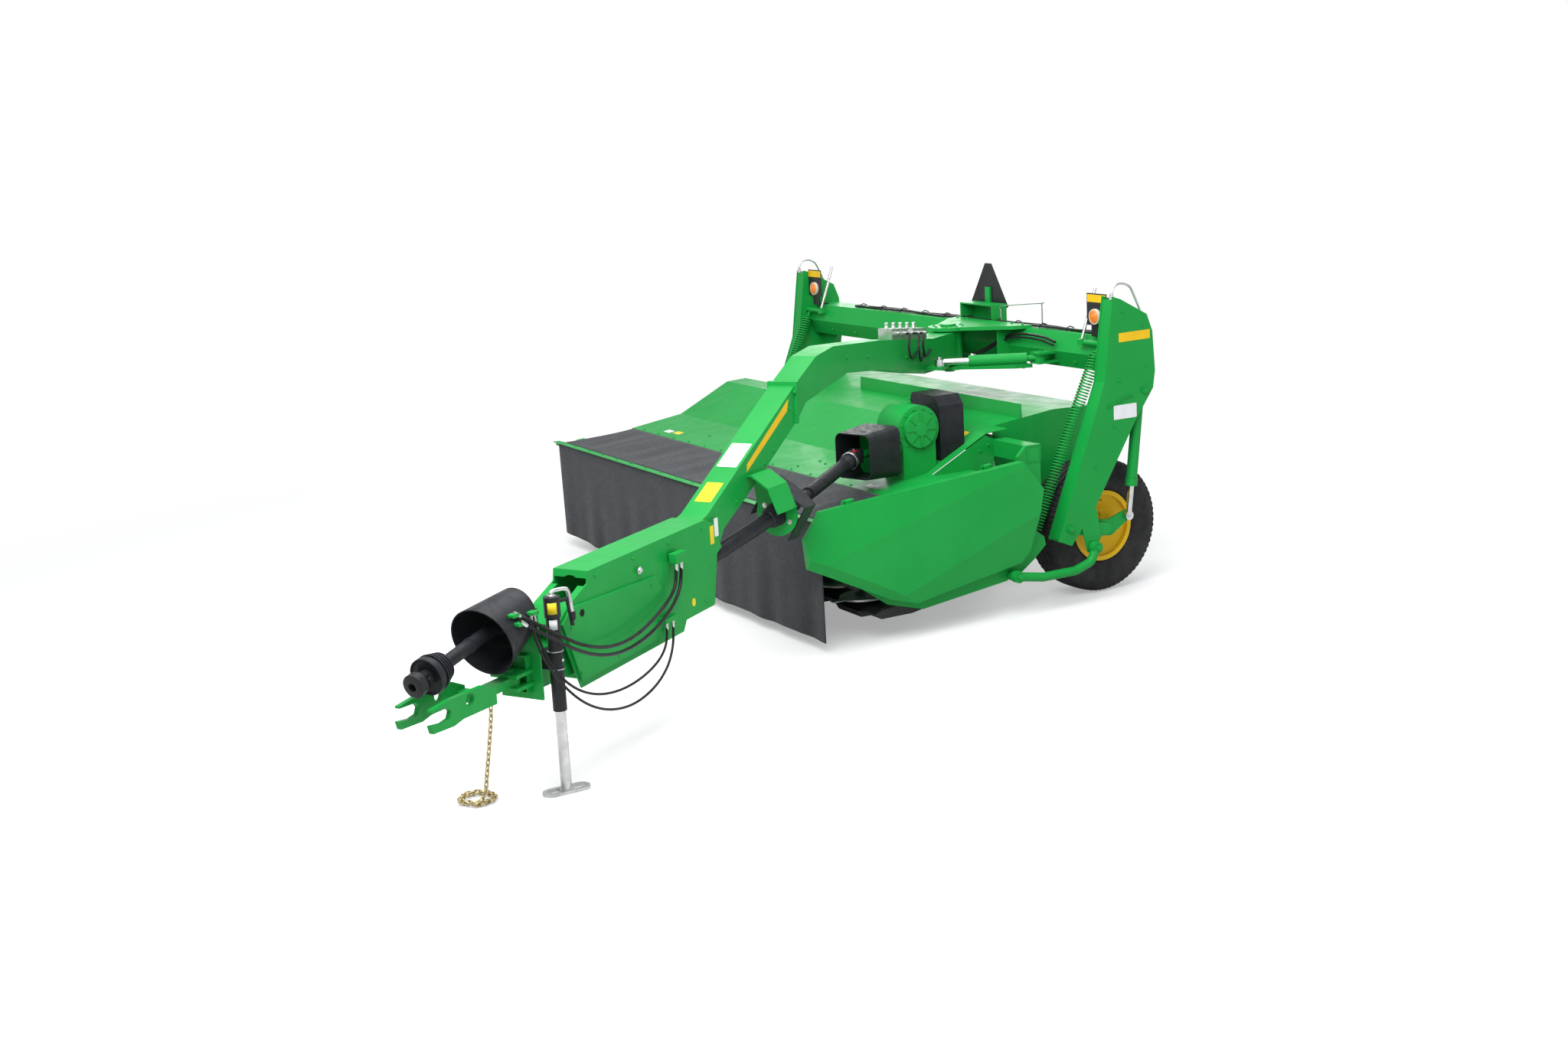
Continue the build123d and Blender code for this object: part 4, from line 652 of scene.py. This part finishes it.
def make_wheels():
    """Treads, wheel bolts, hub caps and valves."""
    for side, x in WHEEL_X.items():
        centre = at(x, 0, WHEEL_Z)
        make_tread(side, centre)
        out = X if side == "left" else -X
        hub = Shape()
        face = centre + out * RIM_FACE
        for k in range(WHEEL_BOLTS):
            a = tau * k / WHEEL_BOLTS
            hub.bolt(face + (Y * sin(a) + Z * cos(a)) * WHEEL_BOLT_RADIUS, out, 11.0)
        hub.turned(face - out * 0.002, out, [(0, 44), (6, 44), (9, 40), (9, 0)], 32)
        hub.turned(face + Z * 0.15, out, [(-12, 5), (18, 5), (18, 4), (24, 4), (24, 0)], 10)
        hub.piece(f"wheel_bolts_{side}", "yellow_paint", f"rim_{side}")


COILS = 62
STEPS_PER_COIL = 14
COIL_RADIUS, COIL_EYE_RADIUS, COIL_WIRE = 32.0, 9.0, 4.6


def make_springs():
    """Float springs as close coils of wire, with their hooks."""
    shape = Shape()
    for x in (SPRING_X, -SPRING_X):
        top = at(x, -12, 1415)
        low = at(x, -482, 430)
        way = (low - top).normalized()
        up = way.cross(X)
        length = (low - top).length
        path = []
        for k in range(COILS * STEPS_PER_COIL + 1):
            a = tau * k / STEPS_PER_COIL
            share = k / (COILS * STEPS_PER_COIL)
            ease = min(1.0, share * COILS, (1 - share) * COILS)
            radius = mix(COIL_EYE_RADIUS, COIL_RADIUS, ease)
            path.append(top + way * (length * share) + (X * cos(a) + up * sin(a)) * radius / 1000)
        shape.swept(path, COIL_WIRE, 6)
        for end, out in ((top, -way), (low, way)):
            shape.swept([end, end + out * 0.012 + up * 0.004, end + out * 0.033], 6.0, 8)
    springs = shape.piece("float_spring_coils", "green_paint", "float_springs", 50.0)
    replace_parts(springs, "float_springs")


# Canvas

CANVAS_THICKNESS = 0.0022


def make_sheet(name, across, down, place):
    """Sheet of coated cloth over a grid; place gives the row point of two shares."""
    points = [place(j / across, k / down) for k in range(down + 1) for j in range(across + 1)]
    wide = across + 1
    faces = [(k * wide + j, k * wide + j + 1, (k + 1) * wide + j + 1, (k + 1) * wide + j)
             for k in range(down) for j in range(across)]
    shape = Shape()
    shape.add(points, faces)
    cloth = shape.piece(name, "canvas_black", "canvas", 0)
    cloth.data.shade_smooth()
    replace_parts(cloth, "canvas")
    thick = cloth.modifiers.new("cloth", "SOLIDIFY")
    thick.thickness = CANVAS_THICKNESS
    thick.offset = 0.0


ARM_PLACES = (-1196.8, -404.8, 404.8, 1196.8)
ARM_REACH = 170
BAR_LINE, EDGE_LINE = -1938, -1421
BAR_TOP, ARM_TOP, EDGE_TOP = 727, 742, 757
ARM_SHARE = 0.46
CURTAIN_TOP, CURTAIN_HEM = 720, 60
CURTAIN_LINE = -1969


def fold(x, seed):
    """Uneven folds across a width, from -1 to 1."""
    return 0.5 * sin(x / 61 + seed) + 0.3 * sin(x / 37 + 2.3 * seed) + 0.2 * sin(x / 143 + 0.7 * seed)


def canvas_top(u, v):
    """Top sheet, held at the bar and at the deck, resting on the platform's arms."""
    x = mix(-1745, 1740, u)
    y = mix(BAR_LINE, EDGE_LINE, v)
    if v < ARM_SHARE:
        height = mix(BAR_TOP, ARM_TOP, v / ARM_SHARE)
    else:
        height = mix(ARM_TOP, EDGE_TOP, (v - ARM_SHARE) / (1 - ARM_SHARE))
    slack = sin(pi * v) ** 0.8
    nearest = min(abs(x - place) for place in ARM_PLACES)
    rest = min(nearest / ARM_REACH, 1.0)
    drop = slack * rest * (9 + 8 * fold(x + 0.22 * (y + 1700), 1.4))
    return at(x, y, height - 1.5 - drop)


def curtain_front(u, v):
    """Front curtain hung from the bar, with folds that open towards its hem."""
    x = mix(-1784, 1774, u)
    open_out = v ** 1.2
    depth = open_out * (9 * fold(x, 0.5) + 5 * sin(x / 260 + 1.0))
    hem = abs(5 * sin(x / 190 + 0.4) * v)
    lift = (1 - u) ** 6 * 26 * v
    return at(x + open_out * 4 * fold(x, 2.2), CURTAIN_LINE + min(depth, 12) + 3 * v,
              mix(CURTAIN_TOP, CURTAIN_HEM, v) + hem + lift)


def make_canvas():
    """The two sheets of black canvas."""
    make_sheet("canvas_top_sheet", 348, 26, canvas_top)
    make_sheet("canvas_front_curtain", 350, 40, curtain_front)


# Plates, stripes and lamps

def deck_height(y):
    """Height of the deck and the hood's skin."""
    if y < -1035:
        return mix(758, 812, (y + 1420) / 385)
    if y < -650:
        return mix(812, 1000, (y + 1035) / 385)
    return mix(1000, 1008, (y + 650) / 150)


def deck_way(y):
    """Direction up the deck, square to the machine's width."""
    rise = deck_height(y + 5) - deck_height(y - 5)
    return Vector((0, 10, rise)).normalized()


def deck_out(y):
    """Direction straight out of the deck."""
    return deck_way(y).cross(-X)


PLATE_THICKNESS, PLATE_STAND = 0.9, 0.2
DECK_PLATES = (
    (1716, -1345, "plate_white", 30, 70), (1716, -1265, "plate_yellow", 30, 80), (1716, -1175, "plate_white", 30, 86),
    (1716, -1100, "plate_yellow", 30, 46), (1300, -1350, "plate_white", 96, 44), (1180, -700, "plate_white", 88, 52),
    (1268, -690, "plate_yellow", 72, 48), (-1350, -1330, "plate_white", 90, 46),
    (-1230, -1320, "plate_yellow", 90, 46))
LABEL_POINTS, LABEL_HALF_ANGLE = 9, radians(34)
LABEL_ANGLE = atan2(0.79, 0.61)


def plate(name, key, node, place, right, up, width, height, radius=3.0):
    """Blank plate with round corners on a surface."""
    shape = Shape()
    out = right.normalized().cross(up.normalized())
    shape.slab(place + out * PLATE_STAND / 1000, right, up, rounded(width, height, radius), PLATE_THICKNESS)
    shape.piece(name, key, node)


def make_plates():
    """Stripes and blank plates, where the photograph shows them."""
    plate("leg_plate_white", "plate_white", "frame_legs", at(LEG_FACE, 72, 1076), Y, Z, 166, 82, 6)
    plate("leg_stripe", "stripe", "frame_legs", at(LEG_FACE, 147, 1504), Y + Z * 0.012, Z, 226, 52)
    plate("leg_stripe_right", "stripe", "frame_legs", at(-LEG_FACE, 147, 1504), -Y, Z, 226, 52)
    plate("lamp_stripe", "stripe", "lamp_plates", at(1610, 30, 1716), X, Z, 170, 44)
    plate("lamp_stripe_right", "stripe", "lamp_plates", at(-1610, 30, 1716), X, Z, 170, 44)
    slope = (AHEAD * 431 - Z * 245).normalized()
    neck = Shape()
    neck.slab(on_tongue(NECK_SIDE + PLATE_STAND, 2390, 1243), -slope, slope.cross(LEFT),
              [(-285, -16), (215, -22), (262, 20), (-262, 14)], PLATE_THICKNESS)
    neck.piece("neck_stripe", "stripe", "tongue_beam")
    back = (Z * 0.475 - AHEAD * 0.880).normalized()
    plate("neck_plate_white", "plate_white", "tongue_beam", on_tongue(0, 2620, 1169.6), LEFT, back, 118, 190, 5)
    plate("neck_plate_low", "plate_yellow", "tongue_beam", on_tongue(0, 2880, 1029.3), LEFT, back, 96, 150, 5)
    plate("box_plate_white", "plate_white", "tongue_box", on_tongue(BOX_SIDE, 2985, 880), -AHEAD, Z, 34, 92, 4)
    plate("box_plate_yellow", "plate_yellow", "tongue_box", on_tongue(BOX_SIDE, 3028, 850), -AHEAD, Z, 34, 92, 4)
    plate("box_dot_yellow", "plate_yellow", "tongue_box", on_tongue(BOX_SIDE, 3229, 560), -AHEAD, Z, 30, 40, 14)
    for number, (x, y, key, wide, long) in enumerate(DECK_PLATES):
        plate(f"deck_plate_{number}", key, "hood", at(x, y, deck_height(y)), X, deck_way(y), wide, long, 4)
    plate("bulkhead_dot", "plate_yellow", "header_frame", at(BULKHEAD_FACE, -1195, 752), Y, Z, 26, 38, 12)
    plate("valve_plate", "plate_white", "valve_block", on_tongue(50, 640, 1560), -AHEAD, Z, 60, 22, 3)
    for start, end, radius, key in ((808, 858, 36.33, "plate_yellow"), (738, 782, 31.34, "plate_white")):
        label = Shape()
        points = []
        for height in (start, end):
            for k in range(LABEL_POINTS):
                a = LABEL_ANGLE + LABEL_HALF_ANGLE * (2 * k / (LABEL_POINTS - 1) - 1)
                out = LEFT * cos(a) + AHEAD * sin(a)
                points.append(on_tongue(*JACK, height) + out * radius / 1000)
        label.add(points, [(k + 1, k, LABEL_POINTS + k, LABEL_POINTS + k + 1) for k in range(LABEL_POINTS - 1)])
        made = label.piece(f"jack_{key}", key, "jack_tube")
        made.modifiers.new("plate", "SOLIDIFY").thickness = 0.0008


RIM_PROFILE = ((0, 0), (0, 45), (14, 46), (19, 44), (19, 39), (16, 38), (16, 0))
AMBER_PROFILE = ((16, 38), (20, 38), (23, 34), (22, 31), (25, 28), (24.5, 24), (28, 19), (27.5, 14), (31, 9),
                 (33.6, 4), (33.7, 0))
RED_PROFILE = ((0, 0), (0, 45), (12, 46), (16, 46), (20, 42), (26, 36), (30, 24), (31.6, 10), (32, 0))


def make_lamps():
    """Lenses with pale rims, on both lamp plates."""
    amber = Shape()
    rims = Shape()
    red = Shape()
    for x in (AMBER_X, -AMBER_X):
        place = at(x, 29.7, 1612)
        rims.turned(place, -Y, RIM_PROFILE, 48)
        amber.turned(place, -Y, AMBER_PROFILE, 48)
    for x in (RED_X, -RED_X):
        red.turned(at(x, 60, 1640), Y, RED_PROFILE, 40)
        red.turned(at(x, 34.4, 1640), Y, [(0, 0), (0, 22), (27, 22), (27, 0)], 24)
    for shape, colour in ((amber, "amber"), (red, "red")):
        made = shape.piece(f"{colour}_lens_domes", f"{colour}_lens", f"{colour}_lamps")
        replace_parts(made, f"{colour}_lamps")
    rims.piece("amber_lamp_rims", "pale_bezel", "amber_lamps")


SIGN_OUTLINE = ((70, 1585), (100, 1565), (450, 1565), (480, 1585), (310, 1850), (240, 1850))
SIGN_X, SIGN_FACE, SIGN_MIDDLE = 275, 222, 1670
SIGN_LAYERS = (("sign_plate", "black_paint", 0.4, 2.4, 1.0), ("sign_border", "red_reflex", 2.8, 0.6, 0.97),
               ("sign_field", "sign_face", 3.4, 0.6, 0.68))


def make_sign():
    """Emblem at the rear: a dark plate, with an orange face and a red border towards the rear."""
    for name, look, start, thickness, share in SIGN_LAYERS:
        shape = Shape()
        points = [((SIGN_X - x) * share, mix(SIGN_MIDDLE, z, share)) for x, z in reversed(SIGN_OUTLINE)]
        shape.slab(at(SIGN_X, SIGN_FACE + start, 0), -X, Z, points, thickness)
        made = shape.piece(name, look, "rear_sign")
        if name == "sign_plate":
            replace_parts(made, "rear_sign")


# Small hardware

FLANGE_BOLTS = ((73, 770), (205, 800), (180, 905), (62, 880))
# Distance from the tongue's middle, size, and places ahead of the pivot and up
TONGUE_BOLTS = (
    (NECK_SIDE, 7.0, ((2350, 1150), (2450, 1100), (2750, 960), (2170, 1340))),
    (NECK_SIDE, 8.0, ((560, 1400), (760, 1420), (1250, 1490), (1500, 1520))),
    (BOX_SIDE, 6.5, ((3120, 905), (3420, 898), (3720, 892), (4020, 884), (3120, 540), (4150, 460))),
    (CHEEK_SIDE, 6.0, ((3530, 500), (3600, 740), (4190, 480), (4240, 700), (3900, 480))))
# Reach out of the leg's face, size, and places
LEG_BOLTS = ((12, 13, 215, 1180), (0, 8, 27, 1260), (12, 14, -340, 445), (0, 6, -359, 393), (0, 7, 60, 1650),
             (0, 7, 200, 1560), (0, 7, 225, 1330), (0, 7, -10, 1000), (0, 7, -150, 780))
DECK_BOLTS = ((452, -1343), (492, -1211), (585, -1228), (-300, -1250), (-900, -1250), (1080, -1200), (1700, -1380))
BULKHEAD_BOLTS = ((-640, 930), (-640, 820), (-1340, 640), (-640, 500), (-640, 380), (-1100, 770), (-1330, 600),
                  (-700, 900))
SHEET_BOLTS = ((-905, 338), (-869, 287), (-768, 301), (-694, 315))
LINK_PIN_FACE = 1858
PIVOT_PLATE_TOP = 1512
BOLTS_LINE = -1400


def ring(count, radius, turn=0.0):
    """Even places on a circle, each as two distances from its centre."""
    angles = [tau * (k + turn) / count for k in range(count)]
    return [(radius * cos(a), radius * sin(a)) for a in angles]


def make_tongue_bolts():
    """Bolts of the tongue, and a dark disc of painted shade for the hole in the side of its box."""
    bright = Shape()
    for left, z in FLANGE_BOLTS:
        bright.bolt(on_tongue(left, 2450, z), AHEAD, 9.5)
    bright.bolt(on_tongue(CHEEK_SIDE, 3688, 828), LEFT, 12.0)
    bright.piece("tongue_bolts_bright", "zinc", "tongue_box")

    tongue = Shape()
    for s, z in ((2110, 1300), (2118, 1420)):
        for left in (-82, 82):
            tongue.bolt(on_tongue(left, s, z), AHEAD, 8.0)
    for reach, size, places in TONGUE_BOLTS:
        for s, z in places:
            for side in (1, -1):
                tongue.bolt(on_tongue(reach * side, s, z), LEFT * side, size)
    tongue.piece("tongue_bolts", "green_paint", "tongue_box")

    # Painted shade: a thin dark disc on the box's side stands for the shaded inside of the hole.
    hole = Shape()
    hole.turned(on_tongue(CHEEK_SIDE, 4154, 745), LEFT,
                [(0, 0), (0, 17), (1.2, 17), (1.2, 13), (0.5, 12), (0.5, 0)], 24)
    hole.piece("box_hole_painted_shade", "dark", "tongue_box")


def make_frame_bolts():
    """Bolts and pin heads of the legs and the beam, and the weld line across the left leg."""
    bolts = Shape()
    for sign in (1, -1):
        for reach, size, y, z in LEG_BOLTS:
            bolts.bolt(at(sign * (LEG_FACE + reach), y, z), X * sign, size)
    bolts.bolt(at(LINK_PIN_FACE, -178, 318), X, 13)
    for x, y in ring(8, 90):
        bolts.bolt(at(PIVOT[0] + x, PIVOT[1] + y, PIVOT_PLATE_TOP), Z, 7)
    for x in (150, 260, 740, 850):
        bolts.bolt(at(x, 60, PIVOT_PLATE_TOP), Z, 8)
        bolts.bolt(at(x, 60, 1250), -Z, 8)
    for x in range(-1400, 1700, 310):
        bolts.bolt(at(x, 40, 1330), -Y, 7)
    bolts.slab(at(LEG_FACE, 30, 1143), Y + Z * 0.303, Z, [(-96, -3), (96, -3), (96, 3), (-96, 3)], 7)
    bolts.piece("frame_bolts", "green_paint", "frame_legs")


def make_header_bolts():
    """Bolts of the front bar, the deck, the bulkhead and the side sheet."""
    header = Shape()
    for x in range(-1740, 1780, 220):
        header.bolt(at(x, -1952, 725), Z, 6.0)
    for x in range(-1600, 1700, 230):
        if not 1180 < x < 1460:
            header.bolt(at(x, BOLTS_LINE, deck_height(BOLTS_LINE)), deck_out(BOLTS_LINE), 6.0)
    for x, y in DECK_BOLTS:
        header.bolt(at(x, y, deck_height(y)), deck_out(y), 6.5)
    for x, size, places in ((BULKHEAD_FACE, 7.0, BULKHEAD_BOLTS), (1760, 8.0, SHEET_BOLTS)):
        for y, z in places:
            header.bolt(at(x, y, z), X, size)
    header.bolt(at(LINK_PIN_FACE, -735, 236), X, 13.0)
    header.piece("header_bolts", "green_paint", "header_frame")


def make_gearbox_bolts():
    """Bolts, ribs and cap on the gearbox's outer face, and its breather."""
    box = Shape()
    x, y, z = GEARBOX
    for step, count, radius, size in ((0, 12, 119, 6.5), (24, 4, 74, 5.0)):
        for along, up in ring(count, radius, 0.5):
            box.bolt(at(x + step, y + along, z + up), X, size)
    for along, up in ring(8, 1):
        out = Y * along + Z * up
        box.slab(at(x + 22, y, z) + out * 0.06, Y * up - Z * along, out, [(-4, -30), (4, -30), (4, 36), (-4, 36)], 8)
    box.turned(at(x + 24, y, z), X, [(-2, 40), (6, 38), (8, 0)], 32)
    box.turned(at(x - 90, y, z + 133), Z, [(0, 12), (14, 12), (16, 8), (30, 8), (34, 11), (40, 11), (42, 0)], 16)
    box.piece("gearbox_bolts", "green_paint", "gearbox")


GUIDE_X = 1780
GUIDE_LINE = ((4, 1730), (6, 1762), (24, 1792), (52, 1806), (92, 1804), (128, 1788), (150, 1762), (200, 1660),
              (206, 1640))
ROD_LINE = ((500, 1506), (500, 1570), (520, 1598), (915, 1638), (930, 1630), (930, 1506))
FRONT_LINE = ((760, 4, 1440), (930, 4, 1466), (1120, 6, 1462), (1240, 8, 1440))
CLIP_LINE = ((92, 1496), (96, 1514), (120, 1524), (146, 1514), (150, 1496))


def make_rods():
    """Hose guides on both legs, and the bent rod behind the pivot."""
    grey = Shape()
    for x in (GUIDE_X, -GUIDE_X):
        grey.swept(smooth_line([at(x, y, z) for y, z in GUIDE_LINE]), 6.5, 10)
        grey.turned(at(x, 4, 1722), Z, [(0, 0), (0, 15), (18, 15), (18, 11), (34, 11), (34, 0)], 6)
    grey.piece("hose_guides", "zinc", "frame_legs")
    rod = Shape()
    rod.swept(smooth_line([at(x, 150, z) for x, z in ROD_LINE]), 4.0, 8)
    rod.slab(at(500, 146, 1500), X, Z, rounded(30, 50, 4), 4)
    rod.piece("rear_wire_rod", "zinc", "trail_frame")


def make_harness():
    """The harness along the beam, held by clips, and the two lines at the beam's front."""
    random.seed(11)
    lines = Shape()
    clips = Shape()
    for strand in range(3):
        path = []
        for x in range(-1180, 1570, 55):
            y = 108 + 12 * strand + 7 * sin(x / 90 + strand * 2.1) + random.uniform(-3, 3)
            lift = 11 if strand == 1 else 6
            path.append(at(x, y, BEAM_TOP + lift + 3 * (1 + sin(x / 130 + strand))))
        lines.swept(path, 6.0 if strand else 8.0, 8)
    for x in range(-1100, 1500, 260):
        clips.swept([at(x, y, z) for y, z in CLIP_LINE], 3.5, 6)
    lines.piece("beam_harness", "hose", "trail_frame")
    clips.piece("harness_clips", "black_plastic", "trail_frame")

    front = Shape()
    for drop, reach, radius in ((0, 0, 8.0), (18, 14, 7.0)):
        line = [at(560, -110, 1330 - drop), at(640, -60, 1370 - drop)]
        line += [at(x, y - reach, z - drop) for x, y, z in FRONT_LINE]
        front.swept(smooth_line(line), radius, 10)
    front.piece("beam_front_lines", "hose", "trail_frame")


VALVE_START, VALVE_TOP, VALVE_LINES_TOP, VALVE_RISE = 420, 1554, 1524, 0.109


def make_valve():
    """Fittings and short bent lines on the manifold of the gooseneck."""
    steel = Shape()
    lines = Shape()
    for number, s in enumerate((470, 560, 650, 740, 830)):
        height = VALVE_TOP + (s - VALVE_START) * VALVE_RISE
        steel.turned(on_tongue(-10, s, height), Z,
                     [(-2, 12), (12, 12), (12, 9), (24, 9), (24, 12), (30, 12), (30, 0)], 6)
        side = 49 if number % 2 else 47
        steel.turned(on_tongue(side, s, height - 30), LEFT, [(0, 11), (14, 11), (14, 8), (26, 8), (26, 0)], 6)
    for s, reach, low in ((560, 46, 1405), (650, 62, 1392), (740, 40, 1418)):
        height = VALVE_LINES_TOP + (s - VALVE_START) * VALVE_RISE
        line = [(70, s, height), (70 + reach * 0.7, s + 10, height - 8), (75 + reach, s + 60, (height + low) / 2),
                (75 + reach * 0.8, s + 20, low), (76 + reach * 0.3, s - 60, low - 4), (84, s - 120, low + 20)]
        lines.swept(smooth_line([on_tongue(*point) for point in line]), 7.0, 10)
    steel.piece("valve_fittings", "zinc", "valve_block")
    lines.piece("valve_lines", "hose", "valve_block")


# Drivelines

PTO_BASE = on_tongue(0, 4500, 822)
PTO_END = on_tongue(0, 5120, 698)
PTO_FLANGE_S, PTO_FLANGE_Z = 4464, 820
YOKE_PROFILE = ((584, 0), (584, 34), (606, 34), (612, 28), (628, 28), (640, 44), (644, 50), (668, 50), (672, 52),
                (680, 52), (684, 46), (687, 40), (687, 19), (650, 18), (650, 0))
EAR_JOINT = on_tongue(130, 2438, 838)
HOOD_JOINT = at(1350, -1470, 965)


def ribs(first, step, count, slope):
    """Repeated ribs of a turned profile; the slope is what each adds to the radius."""
    return [(distance + k * step, radius + k * slope) for k in range(count) for distance, radius in first]


def make_pto():
    """Guard of the shaft towards the tractor with its ribbed cones, its yoke and its joint."""
    way = (PTO_END - PTO_BASE).normalized()
    guard = Shape()
    cone = [(18, 34), (26, 46), (34, 58), (38, 66)]
    for k in range(5):
        cone += [(44 + k * 12, 66 - k * 3.5), (47 + k * 12, 59 - k * 4), (51 + k * 12, 59 - k * 4),
                 (53 + k * 12, 64 - k * 3.5)]
    cone += [(106, 46), (114, 36), (120, 30), (300, 30), (302, 33), (312, 33), (314, 30), (470, 30), (476, 34),
             (486, 40)]
    cone += ribs([(492, 62), (500, 64), (502, 56), (508, 56)], 18, 4, 6)
    cone += [(566, 80), (572, 82), (596, 82), (598, 78), (590, 70), (585, 48), (585, 0)]
    guard.turned(PTO_BASE, way, cone, 40)
    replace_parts(guard.piece("pto_guard", "black_plastic", "pto_shaft", 24.0), "pto_shaft")
    yoke = Shape()
    yoke.turned(PTO_BASE, way, YOKE_PROFILE, 36)
    side = way.orthogonal().normalized()
    for across, up in ring(6, 1):
        out = side * across + way.cross(side) * up
        yoke.turned(PTO_BASE + way * 0.656 + out * 0.0495, out, [(-3, 5), (2.2, 5), (2.4, 0)], 10)
    for left in (-0.040, 0.028):
        yoke.slab(PTO_BASE + way * 0.625 + LEFT * left, way, way.cross(LEFT), rounded(56, 58, 20), 12)
    yoke.turned(PTO_BASE + way * 0.612 - LEFT * 0.044, LEFT, [(0, 0), (0, 14), (88, 14), (88, 0)], 16)
    yoke.piece("pto_yoke", "black_paint", "pto_shaft")
    joint = Shape()
    joint.turned(PTO_BASE, way, [(-20, 0), (-20, 46), (-8, 48), (6, 48), (8, 40), (20, 40), (22, 30), (30, 0)], 30)
    joint.turned(on_tongue(0, PTO_FLANGE_S, PTO_FLANGE_Z), AHEAD,
                 [(0, 0), (0, 54.5), (20, 54.5), (24, 50), (24, 0)], 36)
    for left, up in ring(6, 46):
        joint.bolt(on_tongue(left, PTO_FLANGE_S + 24, PTO_FLANGE_Z + up), AHEAD, 5.0)
    joint.turned(PTO_BASE + way * 0.010 + LEFT * 0.046, LEFT, [(0, 5), (6, 5), (6, 3), (12, 3), (12, 0)], 8)
    joint.piece("pto_joint", "zinc", "pto_shaft")
    mark = Shape()
    mark.slab(PTO_BASE + way * 0.006 + LEFT * 0.036 + Z * 0.030, way, way.cross(Z), rounded(20, 16, 3), 3)
    mark.piece("pto_mark", "red_mark", "pto_shaft")


def make_shafts():
    """Ribbed boot at the ear, and the collar, boot and mark of the second shaft's guard."""
    boot = Shape()
    boot.turned(EAR_JOINT, on_tongue(-4, 3240, 660) - EAR_JOINT,
                [(8, 41)] + ribs([(12, 62), (17, 62), (19, 55), (23, 55)], 13, 5, -2) + [(80, 48), (86, 41)], 40)
    boot.piece("ear_boot", "black_rubber", "first_shaft", 24.0)

    drive = (on_tongue(130, 2310, 838) - HOOD_JOINT).normalized()
    silver = Shape()
    silver.turned(HOOD_JOINT, drive, [(64, 36), (64, 49), (68, 51), (92, 51), (96, 49), (96, 36)], 40)
    silver.turned(HOOD_JOINT + drive * 0.030 + Z * 0.030, Z, [(0, 9), (10, 9), (10, 5), (18, 5), (18, 0)], 8)
    silver.piece("drive_collar", "zinc", "drive_outer")
    black = Shape()
    black.turned(HOOD_JOINT, drive, [(98, 37), (100, 44), (128, 44), (132, 40), (136, 44), (150, 42), (156, 37)], 40)
    black.piece("drive_boot", "black_rubber", "drive_outer", 24.0)
    red = Shape()
    red.slab(HOOD_JOINT + drive * 0.046 + X * 0.020 + Z * 0.043, drive, Z.cross(drive), rounded(24, 24, 5), 3)
    red.piece("drive_mark", "red_mark", "drive_outer")


CRANK_LINE = ((128, 4392, 878), (128, 4392, 896), (134, 4372, 902), (146, 4322, 898), (152, 4304, 884),
              (158, 4298, 830), (160, 4294, 780))
HOOK_LINE = ((-69, 4585, 512), (-92, 4585, 512), (-98, 4587, 494), (-108, 4592, 462), (-100, 4594, 444),
             (-88, 4592, 452), (-84, 4590, 470))
# Place on the tongue, width, height and reach
HOSE_PORTS = ((CHEEK_SIDE, 3392, 825, 95, 50, 41), (CHEEK_SIDE, 3505, 552, 110, 25, 39),
              (109, 4650, 862, 46, 16, 30), (128, 4640, 824, 46, 16, 30), (104, 4528, 842, 46, 16, 42))


def make_jack():
    """Bright crank of the jack with its knob, and the clips on its tube."""
    left, s = JACK
    crank = Shape()
    crank.swept(smooth_line([on_tongue(*point) for point in CRANK_LINE]), 9.6, 12)
    crank.turned(on_tongue(left, s, 880), Z, [(-1, 20), (6, 20), (8, 14), (12, 0)], 20)
    crank.piece("jack_crank", "zinc", "jack_tube")
    knob = Shape()
    knob.turned(on_tongue(160, 4294, 786), -Z, [(-6, 0), (-6, 13), (0, 15), (26, 15), (32, 12), (34, 0)], 20)
    knob.piece("jack_knob", "black_plastic", "jack_tube")
    foot = Shape()
    for z in (640, 560):
        foot.swept([on_tongue(left + across, s + along, z) for across, along in ring(24, 34)], 3.5, 6, closed=True)
    for reach, way in ((30, LEFT), (-30, -LEFT)):
        foot.turned(on_tongue(left + reach, s, 600), way, [(0, 7), (7, 7), (7, 0)], 12)
    foot.piece("jack_clips", "zinc", "jack_tube")


def make_hose_ends():
    """Hook of the safety chain, and the ports and glands of the hoses."""
    hook = Shape()
    hook.swept(smooth_line([on_tongue(*point) for point in HOOK_LINE]), 4.5, 8)
    hook.piece("chain_hook", "zinc", "tongue_box")
    ports = Shape()
    for left, s, z, width, height, reach in HOSE_PORTS:
        ports.slab(on_tongue(left, s, z), -AHEAD, Z, rounded(width, height, 4), reach)
    ports.piece("hose_ports", "green_paint", "tongue_box")
    glands = Shape()
    for name, _, diameter in HOSES:
        route = [on_route(point) for point in ROUTES[name]]
        radius = 11.5 if diameter > 0.012 else 9.0
        for here, past in ((route[0], route[1]), (route[-1], route[-2])):
            profile = ((0, 0), (0, radius), (10, radius), (12, radius - 2), (34, radius - 2), (38, radius - 3), (38, 0))
            glands.turned(here, past - here, profile, 12)
    glands.piece("hose_glands", "zinc", "tongue_box")


make_camera()
make_cords()
make_world()
make_floor()
make_lamp("key", at(3800, -4200, 5200), at(600, -1200, 500), 4.5, 430.0)
make_lamp("top", at(-300, -600, 6400), at(0, -900, 0), 6.0, 215.0)
make_lamp("rim", at(-5200, 3600, 3600), at(0, -300, 800), 4.0, 130.0)
finish_frame()
make_wheels()
make_springs()
make_canvas()
make_plates()
make_lamps()
make_sign()
make_tongue_bolts()
make_frame_bolts()
make_header_bolts()
make_gearbox_bolts()
make_rods()
make_harness()
make_valve()
make_pto()
make_shafts()
make_jack()
make_hose_ends()

bpy.context.scene.view_settings.view_transform = "Standard"
